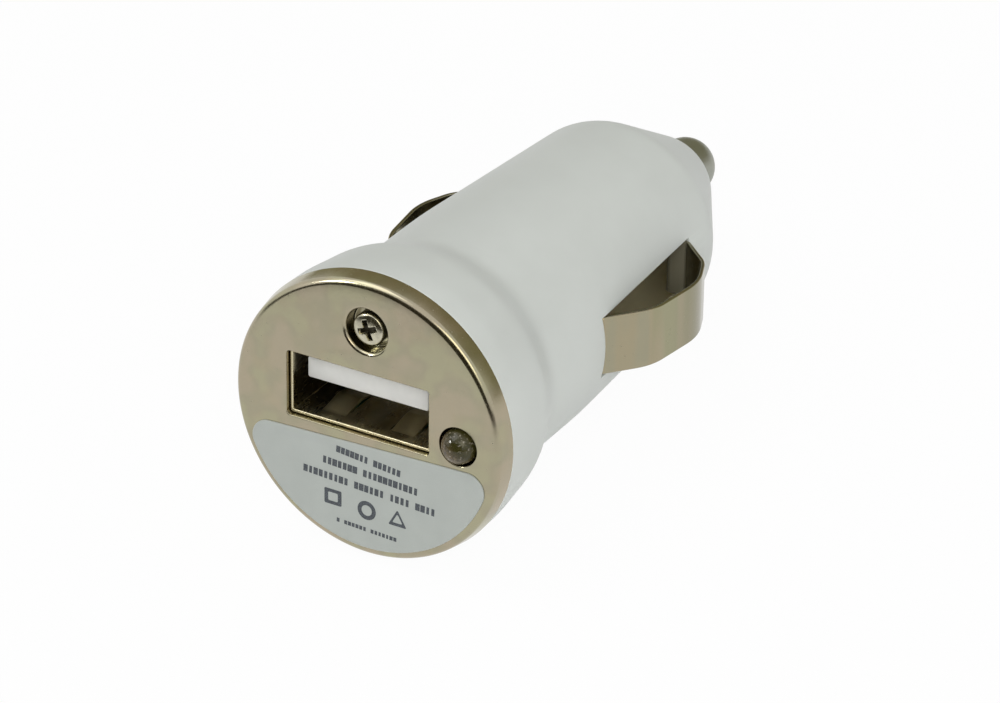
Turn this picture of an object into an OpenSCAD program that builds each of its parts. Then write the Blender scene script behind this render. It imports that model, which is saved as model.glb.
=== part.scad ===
// Plug-in supply for a 12 V vehicle socket, with one type A outlet in its face.
// The plug's axis is Y: the face plate's front is at y = 0 and the nose points along +Y.
// X runs along the outlet's long side and Z is up. All sizes are in millimetres.

/* [Face plate] */
// Thickness of the metal plate
plate_t = 1.75; // [1.4:0.05:2.2]
// Radius of the plate at its back edge
plate_r = 12.43; // [12.2:0.01:12.8]
// How much smaller the plate is at its front than at its back
plate_draft = 0.31; // [0:0.01:0.5]
// Rounding of the plate's front edge
plate_round = 0.55; // [0.2:0.05:0.8]

/* [Housing] */
// Length of the head behind the plate, to the start of its blend
head_len = 6.35; // [5:0.05:9]
// How much the head narrows along its length
head_draft = 0.58; // [0:0.01:1]
// Wall of the head
head_wall = 1.45; // [1.1:0.05:1.8]
// Length of the blend between the head and the barrel
blend_len = 3.3; // [2.6:0.05:5]
// Radius of the barrel's straight land, which the vehicle socket fits
barrel_r = 10.4; // [10.2:0.01:10.6]
// Length of the straight land
land_len = 8.6; // [8.2:0.05:12]
// Length of the barrel's tapered part
taper_len = 20.76; // [20:0.05:26]
// How much the barrel narrows over its tapered part
taper_draft = 1.1; // [0.6:0.05:1.3]
// Wall of the barrel
barrel_wall = 1.1; // [0.9:0.05:1.3]
// Length of the nose cone
nose_len = 9.64; // [9:0.05:12]
// Radius of the nose where its cone ends
nose_end_r = 3.97; // [3.7:0.01:4.4]
// Wall of the nose cone
nose_wall = 1.3; // [1:0.05:1.6]
// Thickness of the nose's end wall
nose_front_t = 2.1; // [1.6:0.05:2.6]

/* [Outlet] */
// Place of the outlet's centre along X
usb_x = -0.8; // [-1.2:0.1:-0.4]
// Height of the outlet's centre
usb_z = 1.4; // [1:0.05:1.8]
// Inner width of the metal shell
usb_in_w = 12.5; // [12.4:0.01:12.7]
// Inner height of the metal shell
usb_in_h = 5.12; // [5:0.01:5.2]
// Thickness of the shell's sheet
usb_sheet = 0.28; // [0.2:0.01:0.35]
// Depth of the shell
usb_depth = 13.75; // [12.5:0.05:14.2]
// How far the shell's mouth stands behind the plate's front
usb_recess = 0.45; // [0.2:0.05:0.9]
// Clearance of the plate's opening round the shell
usb_gap = 0.05; // [0.03:0.01:0.1]
// Thickness of the insulating tongue
tongue_t = 1.84; // [1.7:0.01:1.95]
// Clearance of the insulating tongue at each side of the shell
tongue_gap = 0.7; // [0.6:0.05:0.85]
// How far the tongue stands behind the shell's mouth
tongue_back = 1.15; // [0.8:0.05:1.6]
// Width of a contact strip
contact_w = 1; // [0.8:0.05:1.2]
// Thickness of a contact strip
contact_t = 0.22; // [0.15:0.01:0.3]
// Rise of the retention springs into the shell
grip_rise = 0.42; // [0.2:0.02:0.55]
// Width of a retention spring
grip_w = 2.2; // [1.6:0.1:2.4]

/* [Face screw] */
// Distance from the plate's edge in to the screw's centre
screw_inset = 4.43; // [4.25:0.01:4.6]
// Radius of the screw's head
screw_head_r = 1.4; // [1.3:0.05:1.6]
// Height of the screw's head
screw_head_h = 1.25; // [1.1:0.05:1.4]
// Radius of the recess round the head
screw_seat_r = 1.9; // [1.75:0.05:2.1]
// How far the head's top stands behind the plate's front
screw_recess = 0.15; // [0.05:0.05:0.4]
// Radius of the screw's shank
screw_r = 0.95; // [0.8:0.05:1.05]
// Length of the shank
screw_len = 7; // [5:0.25:8]
// Radius of the boss that the screw goes into
boss_r = 2; // [1.7:0.05:2.2]

/* [Indicator lamp] */
// Distance from the plate's edge in to the lamp's centre
led_inset = 4.03; // [3.95:0.01:4.2]
// Height of the lamp
led_z = 0.1; // [-0.2:0.05:0.4]
// Radius of the lamp's body
led_r = 1.5; // [1.4:0.05:1.55]
// Clearance of the plate's hole round the lamp
led_gap = 0.175; // [0.05:0.025:0.2]
// How far the lamp's dome stands out of the plate
led_out = 1.1; // [0.8:0.05:1.3]
// Length of the lamp's body
led_len = 5.3; // [5:0.05:5.5]
// Thickness of a lamp lead
lead_t = 0.45; // [0.35:0.05:0.5]

/* [Label] */
// Distance from the plate's edge in to the label's round edge
label_margin = 0.93; // [0.9:0.01:1.6]
// Height of the label's top edge, below the axis
label_drop = 2.25; // [1.9:0.05:3]
// Radius of the label's two corners
label_corner = 1.6; // [0.8:0.1:2.4]
// Thickness of the label
label_t = 0.12; // [0.06:0.01:0.2]
// Turn of the label on the plate, in degrees
label_turn = 2; // [0:0.5:3]

/* [Side contacts] */
// Width of a side contact's strip
clip_w = 5.2; // [4.4:0.05:5.25]
// Thickness of the strip
clip_t = 0.35; // [0.25:0.01:0.45]
// How far the arch stands out of the barrel's land
clip_rise = 3.05; // [2.2:0.05:3.4]
// How far a side contact can be pressed in
clip_travel = 3.4; // [2.6:0.05:3.5]
// Clearance between a slot and its strip at the sides
slot_gap = 0.15; // [0.1:0.01:0.25]
// Clearance between a slot's ends and the strip
slot_end_gap = 0.2; // [0.15:0.05:0.3]
// Distance from the slot's rear end to the barrel's shoulder
slot_margin = 4.26; // [4:0.05:5]
// Distance from the end of the straight land to the slot
slot_start_gap = 0.15; // [0.1:0.05:0.6]
// Width of the finger that wipes the board
wiper_w = 1.8; // [1.2:0.1:2.2]
// Length of the finger that wipes the board
wiper_len = 4.3; // [4:0.05:4.6]

/* [Centre contact] */
// Radius of the contact pin
tip_r = 2.6; // [2.3:0.05:2.8]
// How far the pin stands out of the nose
tip_out = 5.25; // [4:0.05:6.5]
// Running clearance round the pin
tip_gap = 0.08; // [0.05:0.01:0.1]
// Radius of the pin's flange
flange_r = 3.9; // [3.6:0.05:4]
// Thickness of the flange
flange_t = 1.2; // [0.8:0.05:1.4]
// Clearance round the flange in its well
well_gap = 0.3; // [0.2:0.05:0.4]
// Diameter of the spring's wire
spring_wire = 0.45; // [0.35:0.05:0.5]
// Mean radius of the spring
spring_r = 2.9; // [2.8:0.05:3.1]
// Number of turns of the spring
spring_turns = 7; // [5:1:8]

/* [Circuit board] */
// Thickness of the board
board_t = 1.2; // [1:0.05:1.4]
// Clearance between the board's edges and what they pass
board_gap = 0.25; // [0.15:0.05:0.4]
// Clearance between the two electrolytic capacitors and the barrel's inner wall
cap_gap = 0.74; // [0.6:0.02:1.2]
// Length of the two electrolytic capacitors
cap_len = 7; // [6:0.1:7.4]
// Radius of the inductor's flanges
coil_r = 3.6; // [3:0.05:3.7]
// Place of the inductor along X
coil_x = 0.7; // [0:0.05:0.8]
// Clearance between the inductor and the barrel's inner wall
coil_gap = 0.2; // [0.15:0.05:0.6]

/* [Hidden] */
$fn = 96;

// Stations along the axis
head_y = plate_t + head_len;
land_y = head_y + blend_len;
taper_y = land_y + land_len;
shoulder_y = taper_y + taper_len;
nose_y = shoulder_y + nose_len;
seat_y = nose_y - nose_front_t;
seat_fit = 0.03;
tip_y = nose_y + tip_out;

// Radii of the housing, outside and inside
head_step = 0.02;
head_edge = 0.12;
hollow_early = 0.6;
hollow_late = 0.5;
head_end_r = plate_r - head_draft;
head_mid_y = plate_t + 0.35 * head_len;
head_mid_r = plate_r - 0.14 * head_draft;
shoulder_r = barrel_r - taper_draft;
head_in_r = head_mid_r - head_wall;
barrel_in_r = barrel_r - barrel_wall;
well_r = flange_r + well_gap;
tip_bore_r = tip_r + tip_gap;
taper_slope = taper_draft / taper_len;
nose_slope = (shoulder_r - nose_end_r) / nose_len;
nose_skin = nose_wall * sqrt(1 + nose_slope * nose_slope);
cone_y = shoulder_y - (nose_skin - barrel_wall) / (nose_slope - taper_slope);
well_y = shoulder_y + (shoulder_r - nose_skin - well_r) / nose_slope;
function barrel_out(y) = barrel_r - taper_slope * max(0, y - taper_y);
function barrel_in(y) = barrel_out(y) - barrel_wall;
// Half of a chord that passes a circle's centre at a distance
function half_chord(r, distance) = sqrt(r * r - distance * distance);
// Radius of a circle that touches a line at x = side, one at z = -drop and the round wall outside them
function wedged_r(side, drop, wall_r) =
    let (sum = side + drop + wall_r)
    sqrt(sum * sum + wall_r * wall_r - side * side - drop * drop) - sum;

// Outlet
usb_out_w = usb_in_w + 2 * usb_sheet;
usb_out_h = usb_in_h + 2 * usb_sheet;
usb_hole_w = usb_out_w + 2 * usb_gap;
usb_hole_h = usb_out_h + 2 * usb_gap;
usb_front = usb_recess;
usb_back = usb_front + usb_depth;
usb_floor = usb_z - usb_in_h / 2;
usb_corner = 0.3;
usb_in_corner = 0.12;
tongue_front = usb_front + tongue_back;
tongue_lift = 0.06;
tongue_z = usb_z + tongue_lift;
tongue_w = usb_in_w - 2 * tongue_gap;
tongue_corner = 0.2;
block_len = 4.9;
block_fit = 0.05;
block_w = usb_in_w - 2 * block_fit;
block_h = usb_in_h - 2 * block_fit;
contact_x = [-3.5, -1, 1, 3.5];
contact_back = 1.1;
contact_front = tongue_front + contact_back;
contact_sink = 0.03;
contact_z = tongue_z - contact_sink;
contact_fit = 0.03;
contact_lead_in = 0.6;
contact_bend = 0.5;
groove_front = contact_front - 0.3;
groove_low = contact_z - contact_t / 2 - contact_fit;
groove_high = contact_z + contact_t / 2 + contact_fit + 0.1;
pin_back = 0.8;
pin_y = usb_back + pin_back;
grip_x = 3.2;
grip_back = 1.1;
grip_start = usb_front + grip_back;
grip_len = 5;
grip_slit = 0.3;
grip_root = 0.3;
grip_ramp = 0.4;
grip_crest = 2.6;
grip_tail = 0.5;
grip_end_lift = 0.08;
leg_x = (usb_out_w - usb_sheet) / 2;
leg_back = 7;
leg_y = usb_front + leg_back;
leg_w = 1.4;
leg_point = 0.4;

// Screw and its boss
screw_z = plate_r - screw_inset;
screw_seat_y = screw_recess + screw_head_h;
screw_edge = 0.35;
shank_y = screw_recess + screw_edge;
screw_point = 1;
screw_point_r = 0.2;
screw_end = screw_seat_y + screw_len;
screw_hole_spare = 0.6;
dimple_t = 0.45;
dimple_wall = 0.8;
dimple_fit = 0.02;
dimple_r = screw_seat_r + dimple_wall;
boss_y = plate_t + dimple_t;
boss_spare = 0.6;
boss_end = land_y + boss_spare;
boss_web = 1.2;
shank_fit = 0.05;
cross_w = 0.42;
cross_span = 1.7;
cross_depth = 0.5;
cross_turn = 20;

// Lamp
led_x = plate_r - led_inset;
led_front = -led_out;
led_back = led_front + led_len;
led_flange = 0.4;
led_flange_r = led_r + led_flange;
led_flange_t = 1;
led_pitch = 2.54;
lead_bend = 0.4;
lead_lower_run = 2.4;
lead_upper_run = 4.4;
led_lower_y = led_back + lead_lower_run;
led_upper_y = led_back + lead_upper_run;

// Label
label_r = plate_r - label_margin;

// Board and its height below the outlet
board_top = usb_floor - usb_sheet;
board_low = board_top - board_t;
pin_out = 0.65;
pin_low = board_low - pin_out;
hole_fit = 0.12;
rail_t = 1;
rail_fit = 0.1;
rail_x = 8;

// Side contacts and their slots
slot_w = clip_w + 2 * slot_gap;
slot_y = taper_y + slot_start_gap;
slot_end = shoulder_y - slot_margin;
tab_gap = 0.3;
tab_front_len = 3;
tab_rear_len = 1.8;
root_y = slot_y + slot_end_gap + clip_t / 2;
foot_y = slot_end - slot_end_gap - clip_t / 2;
tab_front_y = slot_y - tab_front_len;
tab_rear_y = slot_end + tab_rear_len;
tab_front_x = half_chord(barrel_in(slot_y), clip_w / 2) - tab_gap - clip_t / 2;
tab_rear_x = half_chord(barrel_in(tab_rear_y), clip_w / 2) - tab_gap - clip_t / 2;
crest_x = barrel_r + clip_rise - clip_t / 2;
wiper_back = 0.5;
wiper_y = tab_front_y + wiper_back;
wiper_fit = 0.05;

// Outline of the board, narrower where the side contacts are pressed in
board_front = plate_t + dimple_t;
wing_front_gap = 0.95;
wing_y = led_back + wing_front_gap;
wing_back = 1.6;
wing_end = led_upper_y + wing_back;
lead_hole_r = lead_t * 0.71 + hole_fit;
wing_edge = 0.18;
wing_x = led_x + lead_hole_r + wing_edge;
neck_gap = 0.5;
neck_x = half_chord(barrel_in_r, board_low) - neck_gap;
neck_back = 1.6;
neck_end = usb_back + neck_back;
tail_x = tab_front_x - clip_t / 2 - clip_travel - board_gap;
tail_gap = 1.3;
tail_end = slot_end - tail_gap;
tongue_x = tab_rear_x - clip_t / 2 - clip_travel - board_gap;
board_past = 0.1;
board_end = tab_rear_y + board_past;
rail_gap = 0.3;
rail_y = wing_end + rail_gap;
front_edge = 0.75;
front_left = usb_x - usb_out_w / 2 - front_edge;
front_right = usb_x + usb_out_w / 2 + front_edge;

// Spring, and the cup soldered to the end of the board
cup_gap = 0.1;
cup_y = board_end + cup_gap;
cup_t = 0.3;
cup_rim = 1.1;
cup_r = spring_r + cup_rim;
cup_hole_r = 0.8;
cup_tab_w = 2.4;
cup_tab_len = 2.2;
spring_y = cup_y + cup_t;
flange_front = seat_y - seat_fit;
flange_y = flange_front - flange_t;
spring_len = flange_y - spring_y;
stud_gap = 0.35;
stud_r = spring_r - spring_wire / 2 - stud_gap;
stud_len = 1.5;

// Parts under the board
under_gap = 0.05;
cap_front_gap = 0.2;
cap_y = neck_end + cap_front_gap;
cap_end = cap_y + cap_len;
cap_side = 0.3;
cap_r = wedged_r(cap_side, under_gap - board_low, barrel_in(cap_end) - cap_gap);
cap_x = cap_r + cap_side;
cap_z = board_low - under_gap - cap_r;
cap_neck = 0.3;
cap_crimp = 1.3;
cap_crimp_slope = 0.3;
cap_lead = 0.5;
cap_lead_run = 0.75;
cap_lead_y = cap_end + cap_lead_run;
coil_space = 0.6;
coil_y = cap_lead_y + coil_space + coil_r;
coil_h = half_chord(barrel_in(coil_y) - coil_gap, coil_x + coil_r) + board_low;
winding_fit = 0.05;
winding_inset = 0.35;
coil_flange = 0.8;
coil_core_r = 1.8;

// Parts on the board
chip_w = 3.9;
chip_len = 4.9;
chip_h = 1.45;
chip_gap = 1.6;
chip_y = wiper_y + wiper_w + chip_gap;
chip_lift = 0.1;
chip_lead_pitch = 1.27;
chip_lead_w = 0.4;
chip_lead_t = 0.2;
chip_lead_z = 0.8;
chip_lead_out = 1;
diode_gap = 1.5;
diode_y = chip_y + chip_len + diode_gap;
diode_len = 4.3;
diode_w = 2.6;
diode_h = 2.1;
diode_tab = 0.3;
diode_tab_t = 0.2;
diode_tab_inset = 0.5;
small_gap = 1.4;
small_y = diode_y + diode_w + small_gap;
small_x = 1.7;
small_h = 0.55;
led_resistor_x = front_right + 0.1;
led_resistor_y = led_upper_y - 0.2;

function unit(v) = v / norm(v);

// An arc's points about centre c, from angle a0 through the angle sweep
function arc(c, r, a0, sweep) =
    let (n = max(2, ceil(abs(sweep) / 9)))
    [for (i = [0:n]) c + r * [cos(a0 + sweep * i / n), sin(a0 + sweep * i / n)]];

// The corner b between a and c, rounded to radius r
function corner(a, b, c, r) =
    r <= 0 ? [b] :
    let (
        u = unit(a - b),
        v = unit(c - b),
        half = acos(u * v) / 2,
        o = b + unit(u + v) * r / sin(half),
        p = b + u * r / tan(half) - o,
        q = b + v * r / tan(half) - o,
        a0 = atan2(p.y, p.x),
        a1 = atan2(q.y, q.x)
    )
    arc(o, r, a0, (a1 - a0 + 540) % 360 - 180);

function flat2(p) = [p.x, p.y];

// Each point once, where a rounding ends exactly at its neighbour
function once(points) =
    [for (i = [0:len(points) - 1]) if (i == 0 || norm(points[i] - points[i - 1]) > 0.0001) points[i]];

// A line through points given as [x, y, rounding], with its two ends left as they are
function rounded(points) =
    let (n = len(points))
    once([
        for (i = [0:n - 1])
            each (i == 0 || i == n - 1)
                ? [flat2(points[i])]
                : corner(flat2(points[i - 1]), flat2(points[i]), flat2(points[i + 1]), points[i][2])
    ]);

// A closed band of thickness t along a line of points
function band(points, t) =
    let (
        n = len(points),
        side = [
            for (i = [0:n - 1])
                let (d = unit(points[min(i + 1, n - 1)] - points[max(i - 1, 0)])) [-d.y, d.x] * t / 2
        ]
    )
    concat([for (i = [0:n - 1]) points[i] + side[i]], [for (i = [n - 1:-1:0]) points[i] - side[i]]);

// Turned about the plug's axis, from an outline given as [y, radius]
module turned(outline) {
    rotate([-90, 0, 0])
        rotate_extrude()
            polygon([for (p = outline) [p.y, p.x]]);
}

// A drawing in X and Z, given thickness along +Y from y
module facing(y, depth) {
    translate([0, y + depth, 0])
        rotate([90, 0, 0])
            linear_extrude(depth)
                children();
}

// A drawing in Y and Z, given width along X about x
module side_on(x, width) {
    translate([x - width / 2, 0, 0])
        rotate([90, 0, 90])
            linear_extrude(width)
                children();
}

// A straight round bar along +Y
module bar(x, y, z, r, length) {
    translate([x, y, z])
        rotate([-90, 0, 0])
            cylinder(r = r, h = length);
}

module block(low, high) {
    translate(low)
        cube(high - low);
}

// A rectangle about a centre, with rounded corners
module round_rectangle(centre, w, h, r) {
    polygon(once([
        for (k = [0:3])
            let (sx = (k == 0 || k == 3) ? 1 : -1, sy = (k < 2) ? 1 : -1)
            each arc(centre + [sx * (w / 2 - r), sy * (h / 2 - r)], r, 90 * k, 90)
    ]));
}

// Housing: head, barrel and nose moulded as one shell
function housing_outside() = rounded([
    [plate_t, 0, 0],
    [plate_t, plate_r - head_step, head_edge],
    [head_mid_y, head_mid_r, 8],
    [head_y, head_end_r, 6],
    [land_y, barrel_r, 5],
    [taper_y, barrel_r, 0],
    [shoulder_y, shoulder_r, 4],
    [nose_y, nose_end_r, 1.5],
    [nose_y, 0, 0],
]);

function housing_hollow() = rounded([
    [0, 0, 0],
    [0, head_in_r, 0],
    [head_y + hollow_late, head_in_r, 0.8],
    [land_y - hollow_early, barrel_in_r, 0.8],
    [taper_y, barrel_in_r, 0],
    [cone_y, barrel_in(cone_y), 0.6],
    [well_y, well_r, 0],
    [seat_y, well_r, 0],
    [seat_y, tip_bore_r, 0],
    [nose_y + 1, tip_bore_r, 0],
    [nose_y + 1, 0, 0],
]);

module screw_boss() {
    bar(0, boss_y, screw_z, boss_r, boss_end - boss_y);
    block([-boss_web / 2, boss_y, screw_z], [boss_web / 2, boss_end, plate_r]);
}

// Ledges that carry the board's two edges
module board_rails() {
    for (side = [0, 1])
        mirror([side, 0, 0]) {
            block([rail_x, rail_y, board_low - rail_fit - rail_t], [plate_r, neck_end, board_low - rail_fit]);
            block([rail_x, rail_y, board_top + rail_fit], [plate_r, neck_end, board_top + rail_fit + rail_t]);
        }
}

module side_slots() {
    for (side = [0, 1])
        mirror([side, 0, 0])
            block([tab_rear_x, slot_y, -slot_w / 2], [plate_r + clip_rise, slot_end, slot_w / 2]);
}

module housing() {
    color([0.78, 0.79, 0.79])
        difference() {
            union() {
                difference() {
                    turned(housing_outside());
                    turned(housing_hollow());
                }
                intersection() {
                    union() {
                        screw_boss();
                        board_rails();
                    }
                    turned(housing_outside());
                }
            }
            bar(0, 0, screw_z, screw_r + shank_fit, screw_end + screw_hole_spare);
            side_slots();
        }
}

// Face plate: a metal disc with a dimple for the screw and openings for the outlet and the lamp
module face_plate() {
    color([0.67, 0.64, 0.51])
        difference() {
            union() {
                turned(rounded([
                    [0, 0, 0],
                    [0, plate_r - plate_draft, plate_round],
                    [plate_t, plate_r, 0],
                    [plate_t, 0, 0],
                ]));
                bar(0, plate_t / 2, screw_z, dimple_r, plate_t / 2 + dimple_t - dimple_fit);
            }
            facing(-1, plate_t + 2)
                round_rectangle([usb_x, usb_z], usb_hole_w, usb_hole_h, usb_corner + usb_gap);
            bar(led_x, -1, led_z, led_r + led_gap, plate_t + 2);
            bar(0, -1, screw_z, screw_seat_r, screw_seat_y + 1);
            bar(0, -1, screw_z, screw_r + shank_fit, plate_t + dimple_t + 2);
        }
}

// Label: a round sticker cut off straight, with two rounded corners
function label_outline() =
    let (
        c = label_corner,
        z = -label_drop - c,
        x = sqrt(pow(label_r - c, 2) - z * z),
        a = atan2(z, x)
    )
    concat(
        arc([x, z], c, 90, a - 90),
        arc([0, 0], label_r, a, -180 - 2 * a),
        arc([-x, z], c, -180 - a, a - 90)
    );

module rating_label() {
    color([0.75, 0.77, 0.77])
        facing(-label_t, label_t)
            rotate(label_turn)
                polygon(once(label_outline()));
}

module face_screw() {
    color([0.76, 0.75, 0.68])
        difference() {
            union() {
                turned_at_screw(rounded([
                    [screw_recess, 0, 0],
                    [screw_recess, screw_head_r, screw_edge],
                    [screw_seat_y, screw_head_r, 0],
                    [screw_seat_y, 0, 0],
                ]));
                bar(0, shank_y, screw_z, screw_r, screw_end - screw_point - shank_y);
                translate([0, screw_end - screw_point, screw_z])
                    rotate([-90, 0, 0])
                        cylinder(r1 = screw_r, r2 = screw_point_r, h = screw_point);
            }
            for (turn = [-cross_turn, 90 - cross_turn])
                translate([0, screw_recess, screw_z])
                    rotate([0, turn, 0])
                        block([-cross_span / 2, -1, -cross_w / 2], [cross_span / 2, cross_depth, cross_w / 2]);
        }
}

module turned_at_screw(outline) {
    translate([0, 0, screw_z])
        turned(outline);
}

// Outlet shell: a folded sheet with slit springs in its floor and roof
function grip_line(z, inward) = rounded([
    [grip_start - grip_root, z, 0],
    [grip_start + grip_ramp, z, 0.6],
    [grip_start + grip_crest, z + inward * grip_rise, 0.8],
    [grip_start + grip_len - grip_tail, z + inward * grip_end_lift, 0],
]);

module usb_shell() {
    floor_z = usb_floor - usb_sheet / 2;
    roof_z = usb_floor + usb_in_h + usb_sheet / 2;
    color([0.72, 0.71, 0.66])
        union() {
            difference() {
                facing(usb_front, usb_depth)
                    round_rectangle([usb_x, usb_z], usb_out_w, usb_out_h, usb_corner);
                facing(usb_front - 1, usb_depth + 2)
                    round_rectangle([usb_x, usb_z], usb_in_w, usb_in_h, usb_in_corner);
                for (x = [-grip_x, grip_x], z = [floor_z, roof_z])
                    translate([usb_x + x, grip_start + grip_len / 2, z])
                        cube([grip_w + 2 * grip_slit, grip_len, 2 * usb_sheet], center = true);
            }
            for (x = [-grip_x, grip_x]) {
                side_on(usb_x + x, grip_w)
                    polygon(band(grip_line(floor_z, 1), usb_sheet));
                side_on(usb_x + x, grip_w)
                    polygon(band(grip_line(roof_z, -1), usb_sheet));
            }
            for (side = [-1, 1])
                side_on(usb_x + side * leg_x, usb_sheet)
                    polygon([
                        [leg_y, usb_z],
                        [leg_y, pin_low + leg_point],
                        [leg_y + leg_point, pin_low],
                        [leg_y + leg_w - leg_point, pin_low],
                        [leg_y + leg_w, pin_low + leg_point],
                        [leg_y + leg_w, usb_z],
                    ]);
        }
}

// A contact strip's line: along the tongue, out at the back and down through the board
function contact_line() = rounded([
    [contact_front, contact_z + contact_t * 0.4, 0],
    [contact_front + contact_lead_in, contact_z, 0.6],
    [pin_y, contact_z, contact_bend],
    [pin_y, pin_low, 0],
]);

module usb_insulator() {
    block_front = usb_back - block_len;
    color([0.93, 0.93, 0.92])
        difference() {
            union() {
                facing(block_front, block_len)
                    round_rectangle([usb_x, usb_z], block_w, block_h, usb_corner);
                facing(tongue_front, block_front - tongue_front + 1)
                    round_rectangle([usb_x, tongue_z + tongue_t / 2], tongue_w, tongue_t, tongue_corner);
            }
            for (x = contact_x)
                side_on(usb_x + x, contact_w + 2 * contact_fit)
                    polygon([
                        [groove_front, groove_low],
                        [usb_back + 1, groove_low],
                        [usb_back + 1, groove_high],
                        [groove_front, groove_high],
                    ]);
        }
}

module usb_contact(x) {
    color([0.85, 0.7, 0.35])
        side_on(usb_x + x, contact_w)
            polygon(band(contact_line(), contact_t));
}

// Lamp: a domed clear body with a flange, on two bent leads
module led_lens() {
    color([0.6, 0.6, 0.58])
        translate([led_x, 0, led_z])
            turned(rounded([
                [led_front, 0, 0],
                [led_front, led_r, led_r],
                [led_back - led_flange_t, led_r, 0],
                [led_back - led_flange_t, led_flange_r, 0],
                [led_back, led_flange_r, 0],
                [led_back, 0, 0],
            ]));
}

module led_lead(z, y) {
    bend = min(lead_bend, z - board_top);
    color([0.8, 0.8, 0.8])
        side_on(led_x, lead_t)
            polygon(band(rounded([[led_back, z, 0], [y, z, bend], [y, pin_low, 0]]), lead_t));
}

// Side contact: a leaf arched out through the slot, with both ends hooked behind the wall
function clip_line() = rounded([
    [tab_front_x, tab_front_y, 0],
    [tab_front_x, root_y, 0.4],
    [barrel_r - 0.7, root_y, 0.6],
    [crest_x - 0.73, root_y + 3.5, 5],
    [crest_x + 0.14, foot_y - 5.8, 6],
    [crest_x - 1.18, foot_y - 2.5, 3],
    [barrel_out(slot_end) - 0.23, foot_y, 0.8],
    [tab_rear_x, foot_y, 0.4],
    [tab_rear_x, tab_rear_y, 0],
]);

module side_contact() {
    color([0.68, 0.66, 0.58])
        union() {
            translate([0, 0, -clip_w / 2])
                linear_extrude(clip_w)
                    polygon(band(clip_line(), clip_t));
            block(
                [tab_front_x - wiper_len, wiper_y, board_top + wiper_fit],
                [tab_front_x, wiper_y + wiper_w, board_top + wiper_fit + clip_t]
            );
        }
}

// Centre contact: a domed pin with a flange that the spring pushes against the nose
module tip_contact() {
    color([0.72, 0.72, 0.7])
        turned(rounded([
            [flange_y - stud_len, 0, 0],
            [flange_y - stud_len, stud_r, 0.3],
            [flange_y, stud_r, 0],
            [flange_y, flange_r, 0.15],
            [flange_front, flange_r, 0.15],
            [flange_front, tip_r, 0],
            [tip_y, tip_r, tip_r],
            [tip_y, 0, 0],
        ]));
}

// Spring: a helix whose end turns lie close
function helix_y(turn) =
    let (closed = 1.12 * spring_wire, span = spring_len - spring_wire)
    turn < 1 ? closed * turn :
    turn > spring_turns - 1 ? span - closed * (spring_turns - turn) :
    closed + (span - 2 * closed) * (turn - 1) / (spring_turns - 2);

module tip_spring() {
    sides = 6;
    steps = 16;
    rings = spring_turns * steps;
    points = [
        for (i = [0:rings], k = [0:sides - 1])
            let (
                a = 360 * i / steps,
                b = 360 * k / sides,
                r = spring_r + spring_wire / 2 * cos(b),
                y = spring_y + spring_wire / 2 * (1 + sin(b)) + helix_y(i / steps)
            )
            [r * cos(a), y, r * sin(a)]
    ];
    skin = [
        for (i = [0:rings - 1], k = [0:sides - 1])
            let (m = (k + 1) % sides)
            [i * sides + k, (i + 1) * sides + k, (i + 1) * sides + m, i * sides + m]
    ];
    ends = [
        [for (k = [0:sides - 1]) k],
        [for (k = [sides - 1:-1:0]) rings * sides + k],
    ];
    color([0.75, 0.75, 0.77])
        polyhedron(points, concat(skin, ends));
}

module spring_cup() {
    color([0.8, 0.68, 0.4])
        difference() {
            union() {
                bar(0, cup_y, 0, cup_r, cup_t);
                block(
                    [-cup_tab_w / 2, board_end - cup_tab_len, board_top],
                    [cup_tab_w / 2, cup_y + cup_t / 2, board_top + cup_t]
                );
            }
            bar(0, cup_y - 1, 0, cup_hole_r, cup_t + 2);
        }
}

// Board: cut wide at the outlet and narrow between the side contacts
module board_hole(x, y, r) {
    translate([x, y, board_low - 1])
        cylinder(r = r, h = board_t + 2, $fn = 32);
}

module circuit_board() {
    color([0.16, 0.42, 0.24])
        difference() {
            union() {
                block([front_left, board_front, board_low], [front_right, wing_end, board_top]);
                block([front_left, wing_y, board_low], [wing_x, wing_end, board_top]);
                block([-neck_x, wing_end - 1, board_low], [neck_x, neck_end, board_top]);
                block([-tail_x, neck_end - 1, board_low], [tail_x, tail_end, board_top]);
                block([-tongue_x, tail_end - 1, board_low], [tongue_x, board_end, board_top]);
            }
            for (y = [led_lower_y, led_upper_y])
                board_hole(led_x, y, lead_hole_r);
            for (x = contact_x)
                board_hole(usb_x + x, pin_y, contact_w / 2 + hole_fit);
            for (side = [-1, 1])
                translate([usb_x + side * leg_x, leg_y + leg_w / 2, board_low + board_t / 2])
                    cube([usb_sheet + 2 * hole_fit, leg_w + 2 * hole_fit, board_t + 2], center = true);
            for (side = [-1, 1], step = [-1, 1])
                board_hole(side * cap_x + step, cap_lead_y, cap_lead / 2 + hole_fit);
        }
}

// Regulator: a moulded body with eight gull-wing leads
module regulator_chip() {
    foot_z = board_top + chip_lead_t / 2;
    lead_line = rounded([
        [chip_w / 2 - chip_lead_t, board_top + chip_lead_z, 0],
        [chip_w / 2 + 0.4 * chip_lead_out, board_top + chip_lead_z, 0.15],
        [chip_w / 2 + 0.5 * chip_lead_out, foot_z, 0.15],
        [chip_w / 2 + chip_lead_out, foot_z, 0],
    ]);
    color([0.12, 0.12, 0.13])
        union() {
            block(
                [-chip_w / 2, chip_y, board_top + chip_lift],
                [chip_w / 2, chip_y + chip_len, board_top + chip_lift + chip_h]
            );
            for (side = [0, 1], k = [-1.5:1:1.5])
                mirror([side, 0, 0])
                    facing(chip_y + chip_len / 2 + k * chip_lead_pitch - chip_lead_w / 2, chip_lead_w)
                        polygon(band(lead_line, chip_lead_t));
        }
}

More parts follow.
